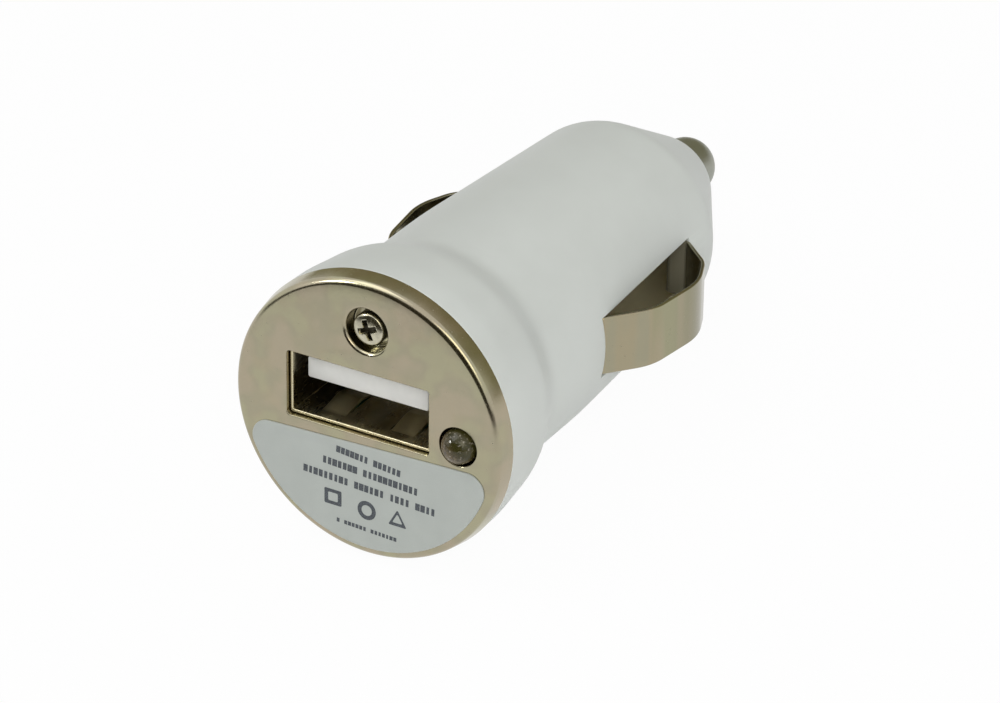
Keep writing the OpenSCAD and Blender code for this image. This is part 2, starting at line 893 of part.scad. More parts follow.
module rectifier_diode() {
    color([0.14, 0.14, 0.15])
        union() {
            block(
                [-diode_len / 2, diode_y, board_top + chip_lift],
                [diode_len / 2, diode_y + diode_w, board_top + diode_h]
            );
            block(
                [-diode_len / 2 - diode_tab, diode_y + diode_tab_inset, board_top],
                [diode_len / 2 + diode_tab, diode_y + diode_w - diode_tab_inset, board_top + diode_tab_t]
            );
        }
}

// A small part for a board's surface, with its longer side along X or Y
module chip_part(x, y, size) {
    color(size.z > small_h ? [0.6, 0.5, 0.38] : [0.15, 0.15, 0.16])
        translate([x - size.x / 2, y - size.y / 2, board_top])
            cube(size);
}

module inductor_core() {
    color([0.25, 0.25, 0.27])
        translate([coil_x, coil_y, board_low - coil_h])
            rotate_extrude()
                polygon([
                    [0, 0], [coil_r, 0], [coil_r, coil_flange], [coil_core_r, coil_flange],
                    [coil_core_r, coil_h - coil_flange], [coil_r, coil_h - coil_flange],
                    [coil_r, coil_h], [0, coil_h],
                ]);
}

module inductor_winding() {
    low = coil_flange + winding_fit;
    high = coil_h - coil_flange - winding_fit;
    winding_r = coil_r - winding_inset;
    color([0.72, 0.4, 0.2])
        translate([coil_x, coil_y, board_low - coil_h])
            rotate_extrude()
                polygon(rounded([
                    [coil_core_r + winding_fit, low, 0],
                    [winding_r, low, 0.4],
                    [winding_r, high, 0.4],
                    [coil_core_r + winding_fit, high, 0],
                ]));
}

// Electrolytic capacitor lying under the board, its two leads turned up through it
module capacitor(side) {
    x = side * cap_x;
    neck_r = cap_r - cap_neck;
    crimp = cap_end - cap_crimp;
    lead_line = rounded([[cap_end - 0.3, cap_z, 0], [cap_lead_y, cap_z, cap_lead], [cap_lead_y, board_top, 0]]);
    union() {
        translate([x, 0, cap_z])
            turned(rounded([
                [cap_y, 0, 0],
                [cap_y, cap_r, 0.35],
                [crimp - cap_crimp_slope, cap_r, 0.2],
                [crimp, neck_r, 0.2],
                [crimp + cap_crimp_slope, cap_r, 0.2],
                [cap_end, cap_r, 0.3],
                [cap_end, 0, 0],
            ]));
        for (step = [-1, 1])
            side_on(x + step, cap_lead)
                polygon(band(lead_line, cap_lead));
    }
}

housing();
face_plate();
rating_label();
face_screw();
usb_shell();
usb_insulator();
usb_contact(contact_x[0]);  // usb_contact_1
usb_contact(contact_x[1]);  // usb_contact_2
usb_contact(contact_x[2]);  // usb_contact_3
usb_contact(contact_x[3]);  // usb_contact_4
led_lens();
led_lead(led_z + led_pitch / 2, led_upper_y);  // led_lead_upper
led_lead(led_z - led_pitch / 2, led_lower_y);  // led_lead_lower
mirror([1, 0, 0]) side_contact();  // side_contact_left
side_contact();  // side_contact_right
tip_contact();
tip_spring();
spring_cup();
circuit_board();
regulator_chip();
rectifier_diode();
inductor_core();
inductor_winding();
color([0.2, 0.22, 0.3]) capacitor(-1);  // input_capacitor
color([0.2, 0.22, 0.3]) capacitor(1);  // output_capacitor
chip_part(small_x, small_y, [1.25, 2, small_h]);  // sense_resistor
chip_part(led_resistor_x, led_resistor_y, [0.8, 1.6, 0.45]);  // led_resistor
chip_part(-small_x, small_y, [1.25, 2, 0.9]);  // ceramic_capacitor
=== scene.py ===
"""Plug-in supply for a 12 V vehicle socket: its pieces and finishes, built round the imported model.

Lengths are in metres. The plug's axis is Y: the face plate's front is at y = 0 and the nose points along +Y.
"""

import math

import bmesh
import bpy
from bpy.props import FloatProperty, FloatVectorProperty, IntProperty, PointerProperty
from mathutils import Euler, Matrix, Vector


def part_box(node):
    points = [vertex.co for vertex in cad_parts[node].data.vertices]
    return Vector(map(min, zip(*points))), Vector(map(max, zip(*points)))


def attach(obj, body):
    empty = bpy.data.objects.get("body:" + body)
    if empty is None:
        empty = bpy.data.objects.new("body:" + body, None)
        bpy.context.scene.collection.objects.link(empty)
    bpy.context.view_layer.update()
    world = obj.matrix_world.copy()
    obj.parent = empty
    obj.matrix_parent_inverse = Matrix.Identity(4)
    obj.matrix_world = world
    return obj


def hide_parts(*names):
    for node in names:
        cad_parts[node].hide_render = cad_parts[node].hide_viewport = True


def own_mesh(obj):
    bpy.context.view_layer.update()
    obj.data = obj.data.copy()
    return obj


bl_info = {
    "name": "Vehicle socket plug",
    "version": (1, 0, 0),
    "blender": (4, 5, 0),
    "location": "3D View > Sidebar > Plug",
    "description": "Builds the pieces, finishes and stage of a plug for a 12 V vehicle socket",
    "category": "Add Mesh",
}

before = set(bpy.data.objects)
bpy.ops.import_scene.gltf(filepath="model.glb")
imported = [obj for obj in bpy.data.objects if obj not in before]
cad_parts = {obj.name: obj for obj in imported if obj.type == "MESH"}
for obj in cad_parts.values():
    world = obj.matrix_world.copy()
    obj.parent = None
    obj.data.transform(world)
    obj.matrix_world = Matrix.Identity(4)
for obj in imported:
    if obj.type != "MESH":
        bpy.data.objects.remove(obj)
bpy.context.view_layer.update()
MM = 0.001
TURN = 2 * math.pi


def middle(node):
    """The middle of a CAD node's box, as three numbers."""
    return [(low + high) / 2 for low, high in zip(*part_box(node))]


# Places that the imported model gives
LENS_X, _, LENS_Z = middle("led_lens")
SCREW_Z = middle("face_screw")[2]
SHELL_X = middle("usb_shell")[0]
SHELL_LOW, SHELL_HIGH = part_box("usb_shell")
LABEL_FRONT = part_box("rating_label")[0].y
SPRING_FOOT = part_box("tip_spring")[0].y
LEAF_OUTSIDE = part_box("side_contact_right")[1].x
BOARD_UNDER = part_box("circuit_board")[0].z

# Heights, at the screw, and places to the right, at the lamp, where the painted shade in the plate's openings
# is weaker
SCREW_ZONE = (5.4 * MM, 5.8 * MM)
LAMP_ZONE = (6.2 * MM, 6.5 * MM)


def length(name, millimetres, description):
    """A length that a user may change, in metres."""
    return FloatProperty(
        name=name, default=millimetres * MM, min=0, unit="LENGTH", precision=5, description=description
    )


def place(name, metres, description):
    """A place along an axis that a user may change, in metres."""
    return FloatProperty(name=name, default=metres, unit="LENGTH", precision=5, description=description)


def angle(name, degrees, description):
    """An angle that a user may change."""
    return FloatProperty(name=name, default=math.radians(degrees), subtype="ANGLE", description=description)


def colour(name, red, green, blue, description):
    """A colour that a user may change, given in the units of a picture's pixels."""
    channels = [
        (c / 255 / 12.92) if c < 11 else ((c / 255 + 0.055) / 1.055) ** 2.4 for c in (red, green, blue)
    ]
    return FloatVectorProperty(
        name=name, default=channels, min=0, max=1, size=3, subtype="COLOR", description=description
    )


# Sizes and colours that a user would change


class HousingSizes(bpy.types.PropertyGroup):
    """Sizes of the moulded housing"""

    back: length("Plate side", 1.75, "Where the housing starts, behind the plate")
    head_r: length("Head radius", 12.41, "Radius of the head at the plate")
    head_mid_y: length("Head middle", 3.9725, "Where the head's side turns in a little")
    head_mid_r: length("Head middle radius", 12.3488, "Radius of the head there")
    head_y: length("Head end", 8.1, "Where the blend to the barrel starts")
    head_end_r: length("Head end radius", 11.85, "Radius of the head there")
    land_y: length("Land start", 11.4, "Where the barrel's straight land starts")
    barrel_r: length("Barrel radius", 10.4, "Radius of the straight land")
    taper_y: length("Land end", 20.0, "Where the barrel starts to narrow")
    shoulder_y: length("Shoulder", 40.76, "Where the nose cone starts")
    shoulder_r: length("Shoulder radius", 9.3, "Radius of the barrel at the shoulder")
    nose_y: length("Nose end", 50.4, "Where the nose cone ends")
    nose_r: length("Nose radius", 3.97, "Radius of the nose where its cone ends")
    wall: length("Wall", 1.1, "Wall of the barrel")
    head_wall: length("Head wall", 1.45, "Wall of the head")
    well_r: length("Well radius", 4.2, "Radius of the well that holds the pin's flange")
    well_y: length("Well start", 47.3, "Where the well starts")
    seat_y: length("Seat", 48.3, "Where the pin's flange seats")
    bore_r: length("Bore", 2.68, "Radius of the pin's bore")
    slot_y: length("Slot start", 20.15, "Front end of a side slot")
    slot_end: length("Slot end", 36.5, "Rear end of a side slot")
    slot_w: length("Slot width", 5.5, "Width of a side slot")
    edge: length("Slot edge", 0.12, "Rounding of the slots' edges")
    white: colour("Plastic", 208, 212, 207, "Colour of the moulded plastic")
    # Painted light: the colour of the shell's inner faces, brighter and yellower than the plastic, stands for
    # the warm light inside
    inside: colour("Inside", 250, 240, 198, "Colour of the shell's unpolished inside")


class PlateSizes(bpy.types.PropertyGroup):
    """Sizes of the face plate"""

    thickness: length("Thickness", 1.75, "Thickness of the plate")
    front_r: length("Front radius", 12.12, "Radius of the plate's front, before its edge is rounded")
    back_r: length("Back radius", 12.43, "Radius of the plate at its back edge")
    rounding: length("Edge rounding", 0.55, "Rounding of the plate's front edge")
    rim: length("Rim rounding", 0.09, "Rounding of the rims of the openings")
    opening_w: length("Opening width", 13.16, "Width of the outlet's opening")
    opening_h: length("Opening height", 5.78, "Height of the outlet's opening")
    opening_corner: length("Opening corner", 0.35, "Rounding of the opening's corners")
    lamp_hole_r: length("Lamp hole", 1.675, "Radius of the lamp's hole")
    recess_r: length("Recess radius", 1.9, "Radius of the screw's recess")
    recess_y: length("Recess depth", 1.4, "Depth of the screw's recess")
    recess_rim: length("Recess rim", 0.3, "Rounding of the recess's rim")
    hole_r: length("Screw hole", 1.0, "Radius of the screw's clearance hole")
    dimple_r: length("Dimple radius", 2.7, "Radius of the dimple at the plate's back")
    dimple_y: length("Dimple depth", 2.18, "Where the dimple ends")
    nickel: colour("Nickel", 166, 160, 137, "Colour of the warm nickel plating")


class LabelSizes(bpy.types.PropertyGroup):
    """Sizes of the label and of the marks printed on it"""

    radius: length("Radius", 11.5, "Radius of the label's round edge")
    drop: length("Drop", 2.25, "Distance of the label's top edge below the axis")
    corner: length("Corner", 1.6, "Radius of the label's two corners")
    edge: length("Edge", 0.035, "Rounding of the label's edge")
    turn: angle("Turn", -2, "Turn of the label on the plate")
    ink_depth: length("Ink", 0.012, "Thickness of the printed marks")
    paper: colour("Label", 172, 177, 172, "Colour of the label")
    ink: colour("Ink colour", 66, 70, 74, "Colour of the printed marks")


class OutletSizes(bpy.types.PropertyGroup):
    """Sizes of the outlet"""

    inner_w: length("Inner width", 12.5, "Inner width of the metal shell")
    inner_h: length("Inner height", 5.12, "Inner height of the metal shell")
    sheet: length("Sheet", 0.28, "Thickness of the shell's sheet")
    grip_x: length("Spring place", 3.2, "Distance of a retention spring from the outlet's centre")
    grip_w: length("Spring width", 2.2, "Width of a retention spring")
    grip_y: length("Spring start", 1.55, "Where the retention springs start")
    grip_len: length("Spring length", 5, "Length of a retention spring's opening")
    grip_rise: length("Spring rise", 0.42, "Rise of a retention spring into the shell")
    grip_slit: length("Slit", 0.08, "Width of the slit round a retention spring")
    steel: colour("Steel", 206, 198, 166, "Colour of the shell's plated steel")
    tongue: colour("Tongue", 214, 214, 210, "Colour of the insulating tongue")
    gold: colour("Contacts", 222, 190, 110, "Colour of the contact strips")


class ScrewSizes(bpy.types.PropertyGroup):
    """Sizes of the face screw"""

    head_r: length("Head radius", 1.4, "Radius of the screw's head")
    head_y: length("Head front", 0.15, "Where the head's crown is")
    crown: length("Crown", 0.22, "How far the head's crown stands proud of its rim")
    seat_y: length("Seat", 1.4, "Where the head seats")
    shank_r: length("Shank radius", 0.95, "Radius of the threaded shank")
    thread: length("Thread depth", 0.16, "Depth of the thread")
    pitch: length("Pitch", 0.6, "Distance from one thread to the next")
    end: length("Point", 8.4, "Where the screw ends")
    cross_w: length("Slot width", 0.5, "Width of a slot of the cross")
    cross_span: length("Slot span", 1.75, "Length of a slot of the cross")
    cross_depth: length("Slot depth", 0.5, "Depth of the cross")
    cross_turn: angle("Cross turn", -20, "Turn of the cross")
    steel: colour("Steel", 192, 187, 166, "Colour of the screw")


class LampSizes(bpy.types.PropertyGroup):
    """Sizes of the indicator lamp"""

    radius: length("Radius", 1.5, "Radius of the lamp's body")
    out: length("Stand out", 1.1, "How far the lamp's dome stands out of the plate")
    flange_r: length("Flange radius", 1.9, "Radius of the lamp's flange")
    flange_y: length("Flange start", 3.2, "Where the flange starts")
    back: length("Back", 4.2, "Where the lamp ends")
    cup_r: length("Cup radius", 0.62, "Radius of the reflector cup inside the lamp")
    cup_y: length("Cup front", 0.75, "Where the reflector cup opens")
    resin: colour("Resin", 124, 106, 78, "Colour of the lamp's tinted resin")


class LeafSizes(bpy.types.PropertyGroup):
    """Sizes of the side contacts"""

    width: length("Width", 5.2, "Width of the strip")
    thickness: length("Thickness", 0.35, "Thickness of the strip")
    edge: length("Edge", 0.14, "Rounding of the strip's edges")
    # Inside this distance the strip is matt and darkened with painted shade
    root_x: length("Root", 9.4, "Distance from the axis inside which the strip is matt")
    # The next two set where painted shade on the strip's rear starts and where it is full
    rear_shade_y: length("Dulling start", 26.5, "Where the strip's duller rear starts")
    rear_shade_end: length("Dulling end", 30.5, "Where the strip is fully dull")
    # bands sets the leaf's tinted bands, partly plating tint and partly painted reflections
    bands: FloatProperty(name="Bands", default=0.75, min=0, max=1, description="Share of the tinted bands")
    nickel: colour("Nickel", 160, 155, 132, "Colour of the leaf's plating")


class PinSizes(bpy.types.PropertyGroup):
    """Sizes of the centre contact and its spring"""

    radius: length("Radius", 2.6, "Radius of the pin")
    tip: length("Tip", 55.65, "Where the pin's domed end is")
    flange_r: length("Flange radius", 3.9, "Radius of the flange")
    flange_y: length("Flange start", 47.07, "Back of the flange")
    flange_front: length("Flange end", 48.27, "Front of the flange, which seats in the nose")
    stud_r: length("Stud radius", 2.325, "Radius of the stud that centres the spring")
    stud_len: length("Stud", 1.5, "Length of the stud")
    coil_r: length("Spring radius", 2.9, "Mean radius of the spring")
    wire: length("Wire", 0.45, "Diameter of the spring's wire")
    turns: IntProperty(name="Turns", default=7, min=3, max=12, description="Turns of the spring")
    travel: length("Travel", 2.2, "How far the pin can be pressed in")
    nickel: colour("Nickel", 160, 163, 154, "Colour of the pin's plating")


class BoardSizes(bpy.types.PropertyGroup):
    """Sizes and colours of what the board carries"""

    wire: length("Winding wire", 0.34, "Diameter of the inductor's wire")
    solder_r: length("Solder", 0.55, "Radius of a solder joint")
    mask: colour("Solder mask", 18, 56, 36, "Colour of the board's faces")
    laminate: colour("Laminate", 176, 160, 104, "Colour of the board's cut edges")
    sleeve: colour("Sleeve", 44, 52, 84, "Colour of the capacitors' sleeves")


class StageSizes(bpy.types.PropertyGroup):
    """The camera, the floor and the lights"""

    azimuth: angle("Azimuth", 29.7712, "Camera's place round the plug")
    elevation: angle("Elevation", 28.4458, "Camera's height as an angle")
    roll: angle("Roll", 0.8395, "Camera's roll")
    distance: length("Distance", 399.644, "Distance of the camera from the plug's middle")
    aim_y: length("Aim", 20, "Point of the axis that the camera is set out from")
    aside: place("Aside", 0.51096 * MM, "How far the camera stands to the right of that point")
    above: place("Above", -2.64805 * MM, "How far the camera stands above that point")
    lens: FloatProperty(name="Lens", default=175.818, min=1, description="Focal length in millimetres")
    floor_r: length("Floor", 1500, "Radius of the floor")
    room: FloatProperty(name="Room light", default=0.48, min=0, description="Strength of the even light")
    key: FloatProperty(name="Key light", default=0.9, min=0, description="Power of the main lamp in watts")
    fill: FloatProperty(name="Fill light", default=1.14, min=0, description="Power of the lamp by the camera")


# Shader and geometry trees


class Wire:
    """An output of a node. Sums on it add Math nodes to its tree."""

    def __init__(self, graph, socket):
        self.graph = graph
        self.socket = socket

    def also(self, name):
        """Another output of the same node."""
        return Wire(self.graph, self.socket.node.outputs[name])

    def __add__(self, other):
        return self.graph.maths("ADD", self, other)

    def __radd__(self, other):
        return self.graph.maths("ADD", other, self)

    def __sub__(self, other):
        return self.graph.maths("SUBTRACT", self, other)

    def __rsub__(self, other):
        return self.graph.maths("SUBTRACT", other, self)

    def __mul__(self, other):
        return self.graph.maths("MULTIPLY", self, other)

    def __rmul__(self, other):
        return self.graph.maths("MULTIPLY", other, self)

    def __truediv__(self, other):
        return self.graph.maths("DIVIDE", self, other)


class Graph:
    """A tree of nodes under construction."""

    def __init__(self, tree):
        self.tree = tree

    def node(self, kind, inputs=None, out=0, **settings):
        """Adds a node: its settings first, then the values or links of its sockets."""
        made = self.tree.nodes.new(kind)
        for name, value in settings.items():
            setattr(made, name, value)
        for key, value in (inputs or {}).items():
            if isinstance(value, Wire):
                self.tree.links.new(value.socket, made.inputs[key])
            else:
                made.inputs[key].default_value = value
        return Wire(self, made.outputs[out])

    def maths(self, operation, *values):
        return self.node("ShaderNodeMath", dict(enumerate(values)), operation=operation)

    def spread(self, value, low, high, to_low=0.0, to_high=1.0):
        """A value from low to high, spread over another range and held inside it."""
        return self.node(
            "ShaderNodeMapRange",
            {"Value": value, "From Min": low, "From Max": high, "To Min": to_low, "To Max": to_high},
        )

    def seen(self):
        """1 for rays from the camera, off mirrors and through the lamp, 0 for light that falls on things."""
        path = self.node("ShaderNodeLightPath")
        return self.maths("MINIMUM", path + path.also("Is Glossy Ray") + path.also("Is Transmission Ray"), 1)


class Finish(Graph):
    """A material with one Principled surface, whose patterns lie in the piece's own space."""

    def __init__(self, name, **constants):
        self.material = bpy.data.materials.new(name)
        self.material.use_nodes = True
        super().__init__(self.material.node_tree)
        self.tree.nodes.clear()
        self.surface = self.tree.nodes.new("ShaderNodeBsdfPrincipled")
        self.output = self.tree.nodes.new("ShaderNodeOutputMaterial")
        self.tree.links.new(self.surface.outputs[0], self.output.inputs[0])
        for name, value in constants.items():
            self.surface.inputs[name.replace("_", " ")].default_value = value
        self.object_place = self.node("ShaderNodeTexCoord", out="Object")

    def wear(self, **sockets):
        """Feeds the surface's sockets from wires or values."""
        for name, value in sockets.items():
            socket = self.surface.inputs[name.replace("_", " ")]
            if isinstance(value, Wire):
                self.tree.links.new(value.socket, socket)
            else:
                socket.default_value = value
        return self.material

    def stretched_place(self, stretch=(1, 1, 1), centre=(0, 0, 0)):
        """Object coordinates about a centre, stretched."""
        moved = self.node("ShaderNodeVectorMath", {0: self.object_place, 1: centre}, operation="SUBTRACT")
        return self.node("ShaderNodeMapping", {"Vector": moved, "Scale": stretch})

    def parts(self, place=None):
        """X of a place, or of the object coordinates. Y and Z are its other outputs."""
        return self.node("ShaderNodeSeparateXYZ", {"Vector": place or self.object_place})

    def unsigned(self, value):
        """A value without its sign."""
        return self.maths("ABSOLUTE", value)

    def off_axis(self, place):
        """What a place has square to the plug's axis."""
        return self.node("ShaderNodeVectorMath", {0: place, 1: (1, 0, 1)}, operation="MULTIPLY")

    def axis_distance(self, place):
        """The distance of a place from the plug's axis."""
        return self.node("ShaderNodeVectorMath", {0: self.off_axis(place)}, operation="LENGTH", out="Value")

    def noise(self, size, detail=2.0, roughness=0.5, **where):
        """Noise from 0 to 1 in patches of about one size."""
        inputs = {"Scale": 1 / size, "Detail": detail, "Roughness": roughness}
        return self.node("ShaderNodeTexNoise", {"Vector": self.stretched_place(**where), **inputs})

    def blend(self, share, first, second):
        """A colour that goes from the first to the second as share goes from 0 to 1."""
        inputs = {0: share, 6: as_colour(first), 7: as_colour(second)}
        return self.node("ShaderNodeMix", inputs, out=2, data_type="RGBA", clamp_factor=True)

    def below(self, front, back, radius):
        """The mask of painted shade in openings: 1 deeper than back and nearer the axis than radius, 0 before
        front, less at screw and lamp.
        """
        parts = self.parts()
        away = self.axis_distance(self.object_place)
        upper = self.spread(parts.also("Z"), *SCREW_ZONE)
        aside = self.spread(parts, *LAMP_ZONE)
        within = self.spread(away, radius, radius * 0.985) * (1 - upper * 0.9) * (1 - aside * 0.6)
        return self.spread(parts.also("Y"), front, back) * within

    def inward(self):
        """1 where the surface faces the plug's axis, 0 where it faces away."""
        normal = self.node("ShaderNodeTexCoord", out="Normal")
        flat = self.off_axis(self.object_place)
        outward = self.node("ShaderNodeVectorMath", {0: flat}, operation="NORMALIZE")
        facing = self.node(
            "ShaderNodeVectorMath", {0: normal, 1: outward}, operation="DOT_PRODUCT", out="Value"
        )
        return self.spread(facing, -0.1, -0.4)

    def relief(self, height, depth, normal=None):
        """A normal from a height between 0 and 1 and the depth it stands for."""
        inputs = {"Height": height, "Distance": depth, "Strength": 1.0}
        if normal is not None:
            inputs["Normal"] = normal
        return self.node("ShaderNodeBump", inputs)


def as_colour(value):
    """A colour with its alpha, or the wire as it is."""
    return value if isinstance(value, Wire) else (*value, 1)


def shaded(rgb, factor):
    """A colour made lighter or darker."""
    return tuple(min(1, c * factor) for c in rgb)


def tinted(rgb, *factors):
    """A colour with a factor of its own for red, green and blue."""
    return tuple(c * factor for c, factor in zip(rgb, factors))


# Finishes


def moulded_plastic(rgb, inside):
    """White ABS with a fine spark-eroded grain, faint flow marks, a soft satin gloss and painted warm light
    on its inner faces.
    """
    made = Finish("moulded plastic", IOR=1.47, Specular_IOR_Level=0.42)
    flow = made.noise(9 * MM, detail=2.5, stretch=(1, 0.45, 1))
    cloud = made.noise(2.2 * MM, detail=3.0)
    grain = made.noise(0.16 * MM, detail=2.0)
    tone = made.spread(flow * 0.7 + cloud * 0.3, 0.35, 0.65)
    base = made.blend(tone, shaded(rgb, 0.968), shaded(rgb, 1.02))
    # Painted light: faces turned towards the axis take a brighter, yellower colour for the warm light inside
    # the shell
    base = made.blend(made.inward(), base, inside)
    rough = made.spread(cloud * 0.5 + grain * 0.5, 0.3, 0.7, 0.4, 0.52)
    normal = made.relief(grain, 0.006 * MM)
    return made.wear(Base_Color=base, Roughness=rough, Normal=made.relief(flow, 0.02 * MM, normal))


def nickel_plating(
    name, rgb, rough, brushed=(1, 1, 1), size=0.5 * MM,
    holes=None, opening_shade=0.8, leaf=None, lip=None, tints=0.0,
):
    """Warm nickel: a smooth plated skin with cloudy tints, fine rolling lines and a few dull spots.

    brushed stretches the rolling lines, and size is theirs. holes gives the depths and the radius inside
    which the walls of openings are darkened with painted shade, and the next argument gives how much. leaf
    holds the sizes of a side contact, which has soft tinted bands across it, partly plating tint and partly
    painted reflections, painted shade towards its rear and matt roots darkened with painted shade. lip is the
    station in front of which the skin is quite smooth. Behind it, the side walls are darkened with painted
    shade. tints is the share of faint pink and green blotches.
    """
    made = Finish(name, Metallic=1.0)
    cloud = made.noise(3.6 * MM, detail=3.0)
    tint = made.noise(1.5 * MM, detail=2.0, centre=(3 * MM, 0, 5 * MM))
    lines = made.noise(size, detail=4.0, roughness=0.65, stretch=brushed)
    spots = made.spread(made.noise(0.3 * MM, detail=1.0), 0.72, 0.8)
    warm = made.blend(made.spread(tint, 0.38, 0.62), shaded(rgb, 0.95), tinted(rgb, 1.02, 0.985, 0.96))
    base = made.blend(made.spread(cloud, 0.34, 0.66), shaded(rgb, 0.93), warm)
    if leaf:
        parts = made.parts()
        # Soft bands across the leaf: partly plating tint, partly painted reflections of the surroundings
        band = made.noise(1.9 * MM, detail=1.0, stretch=(0.1, 1, 0.1))
        base = made.blend(made.spread(band, 0.4, 0.5) * leaf.bands, base, tinted(rgb, 1.02, 0.95, 0.9))
        base = made.blend(made.spread(band, 0.52, 0.62) * leaf.bands, base, tinted(rgb, 0.84, 0.89, 0.78))
        # Painted shade: the strip darkens towards its rear
        dull = made.spread(parts.also("Y"), leaf.rear_shade_y, leaf.rear_shade_end)
        base = made.blend(dull, base, shaded(rgb, 0.74))
    if tints:
        patch = made.noise(3.4 * MM, detail=1.5, centre=(1.4 * MM, 0, 2 * MM))
        base = made.blend(made.spread(patch, 0.5, 0.6) * tints, base, tinted(rgb, 1.12, 1.03, 1.08))
        base = made.blend(made.spread(patch, 0.48, 0.4) * tints, base, tinted(rgb, 1.05, 1.1, 1.0))
    base = made.blend(spots * 0.25, base, shaded(rgb, 0.6))
    if holes:
        # Painted shade on the walls of openings, deeper than the front and near the axis
        base = made.blend(made.below(*holes) * opening_shade, base, (0.05, 0.042, 0.024))
    if lip:
        # Painted shade: behind the lip, the shell's side walls are darkened
        depth = made.parts().also("Y")
        facing = made.parts(made.node("ShaderNodeTexCoord", out="Normal"))
        walls = made.spread(made.unsigned(facing), 0.7, 0.95)
        base = made.blend(walls * made.spread(depth, lip, lip + 0.2 * MM) * 0.75, base, (0.04, 0.033, 0.02))
    polish = made.spread(cloud * 0.5 + lines * 0.5, 0.3, 0.7, rough * 0.78, rough * 1.25)
    polish = polish + spots * 0.15
    if leaf:
        # Painted shade: the roots, inside the slot, are made matt and darker
        shaded_matt_root = made.spread(made.unsigned(parts), leaf.root_x, leaf.root_x - 0.3 * MM)
        base = made.blend(shaded_matt_root, base, shaded(rgb, 0.58))
        made.wear(Metallic=1 - shaded_matt_root * 0.8)
        polish = polish + shaded_matt_root * 0.25
    if lip:
        lines = lines * made.spread(depth, lip, lip + 0.4 * MM)
    return made.wear(Base_Color=base, Roughness=polish, Normal=made.relief(lines, 0.0022 * MM))


def label_paper(rgb):
    """Pale satin film with a faint mottle."""
    made = Finish("label film", IOR=1.45, Specular_IOR_Level=0.4)
    cloud = made.noise(2.6 * MM, detail=3.0)
    fibre = made.noise(0.12 * MM, detail=2.0)
    base = made.blend(made.spread(cloud, 0.35, 0.65), shaded(rgb, 0.955), shaded(rgb, 1.015))
    return made.wear(
        Base_Color=made.blend(made.spread(fibre, 0.35, 0.65) * 0.3, base, shaded(rgb, 0.9)),
        Roughness=made.spread(cloud, 0.3, 0.7, 0.38, 0.5),
        Normal=made.relief(fibre, 0.0025 * MM),
    )


def printed_ink(rgb):
    """Thin dark ink that lets a little of the film through."""
    made = Finish("printed ink", IOR=1.45, Specular_IOR_Level=0.35)
    break_up = made.noise(0.1 * MM, detail=3.0)
    return made.wear(
        Base_Color=made.blend(made.spread(break_up, 0.45, 0.75), rgb, shaded(rgb, 2.2)),
        Roughness=made.spread(break_up, 0.3, 0.7, 0.42, 0.6),
    )


def steel(name, rgb, rough):
    """Plain bright steel with fine drawing lines."""
    made = Finish(name, Metallic=1.0)
    lines = made.noise(0.25 * MM, detail=4.0, stretch=(1, 0.15, 1))
    cloud = made.noise(0.9 * MM, detail=2.0)
    return made.wear(
        Base_Color=made.blend(made.spread(cloud, 0.35, 0.65), shaded(rgb, 0.88), shaded(rgb, 1.06)),
        Roughness=made.spread(lines * 0.6 + cloud * 0.4, 0.3, 0.7, rough * 0.8, rough * 1.3),
        Normal=made.relief(lines, 0.002 * MM),
    )


def screw_steel(rgb, rough, dark_y, head_r):
    """Bright steel whose cross, deeper than dark_y, is darkened with painted shade. The sides of its head
    have less of it.
    """
    made = Finish("screw steel", Metallic=1.0)
    cloud = made.noise(0.5 * MM, detail=3.0)
    depth = made.parts().also("Y")
    # Painted shade in the cross, weaker at the sides of the head
    cross_shade = made.spread(depth + (cloud - 0.5) * (0.2 * MM), dark_y, dark_y + 0.14 * MM)
    away = made.axis_distance(made.stretched_place(centre=(0, 0, SCREW_Z)))
    cross_shade = cross_shade * made.spread(away, head_r * 0.8, head_r * 0.9, 1.0, 0.35)
    skin = made.blend(made.spread(cloud, 0.35, 0.65), shaded(rgb, 0.8), shaded(rgb, 1.12))
    return made.wear(
        Base_Color=made.blend(cross_shade * 0.93, skin, (0.035, 0.03, 0.02)),
        Roughness=made.spread(cloud, 0.3, 0.7, rough * 0.8, rough * 1.3) + cross_shade * 0.25,
        Normal=made.relief(cloud, 0.006 * MM),
    )


def tongue_plastic(rgb):
    """Off-white moulded nylon."""
    made = Finish("tongue plastic", IOR=1.5, Specular_IOR_Level=0.4)
    cloud = made.noise(1.1 * MM, detail=2.0)
    return made.wear(
        Base_Color=made.blend(made.spread(cloud, 0.35, 0.65), shaded(rgb, 0.95), rgb),
        Roughness=made.spread(cloud, 0.3, 0.7, 0.36, 0.48),
        Normal=made.relief(made.noise(0.1 * MM, detail=1.0), 0.003 * MM),
    )


def lamp_resin(rgb):
    """Smoky clear resin with a slight haze, pale speckles that are painted highlights and painted shade
    towards its upper right.
    """
    made = Finish("lamp resin", IOR=1.53, Transmission_Weight=0.4, Specular_IOR_Level=0.22)
    haze = made.noise(0.55 * MM, detail=3.0)
    # Painted highlights: pale speckles in the resin
    speckle_glint = made.spread(made.noise(0.24 * MM, detail=2.0), 0.6, 0.7)
    base = made.blend(made.spread(haze, 0.35, 0.65), shaded(rgb, 0.6), shaded(rgb, 1.35))
    # Painted shade: the resin darkens towards the upper right of the lamp
    parts = made.parts()
    aside = (parts - LENS_X) + (parts.also("Z") - LENS_Z)
    base = made.blend(made.spread(aside, -1.0 * MM, 0.8 * MM) * 0.9, base, (0.034, 0.036, 0.004))
    return made.wear(
        Base_Color=made.blend(speckle_glint * 0.5, base, (0.55, 0.5, 0.42)),
        Roughness=made.spread(haze, 0.3, 0.7, 0.05, 0.16),
        Normal=made.relief(haze, 0.012 * MM),
    )


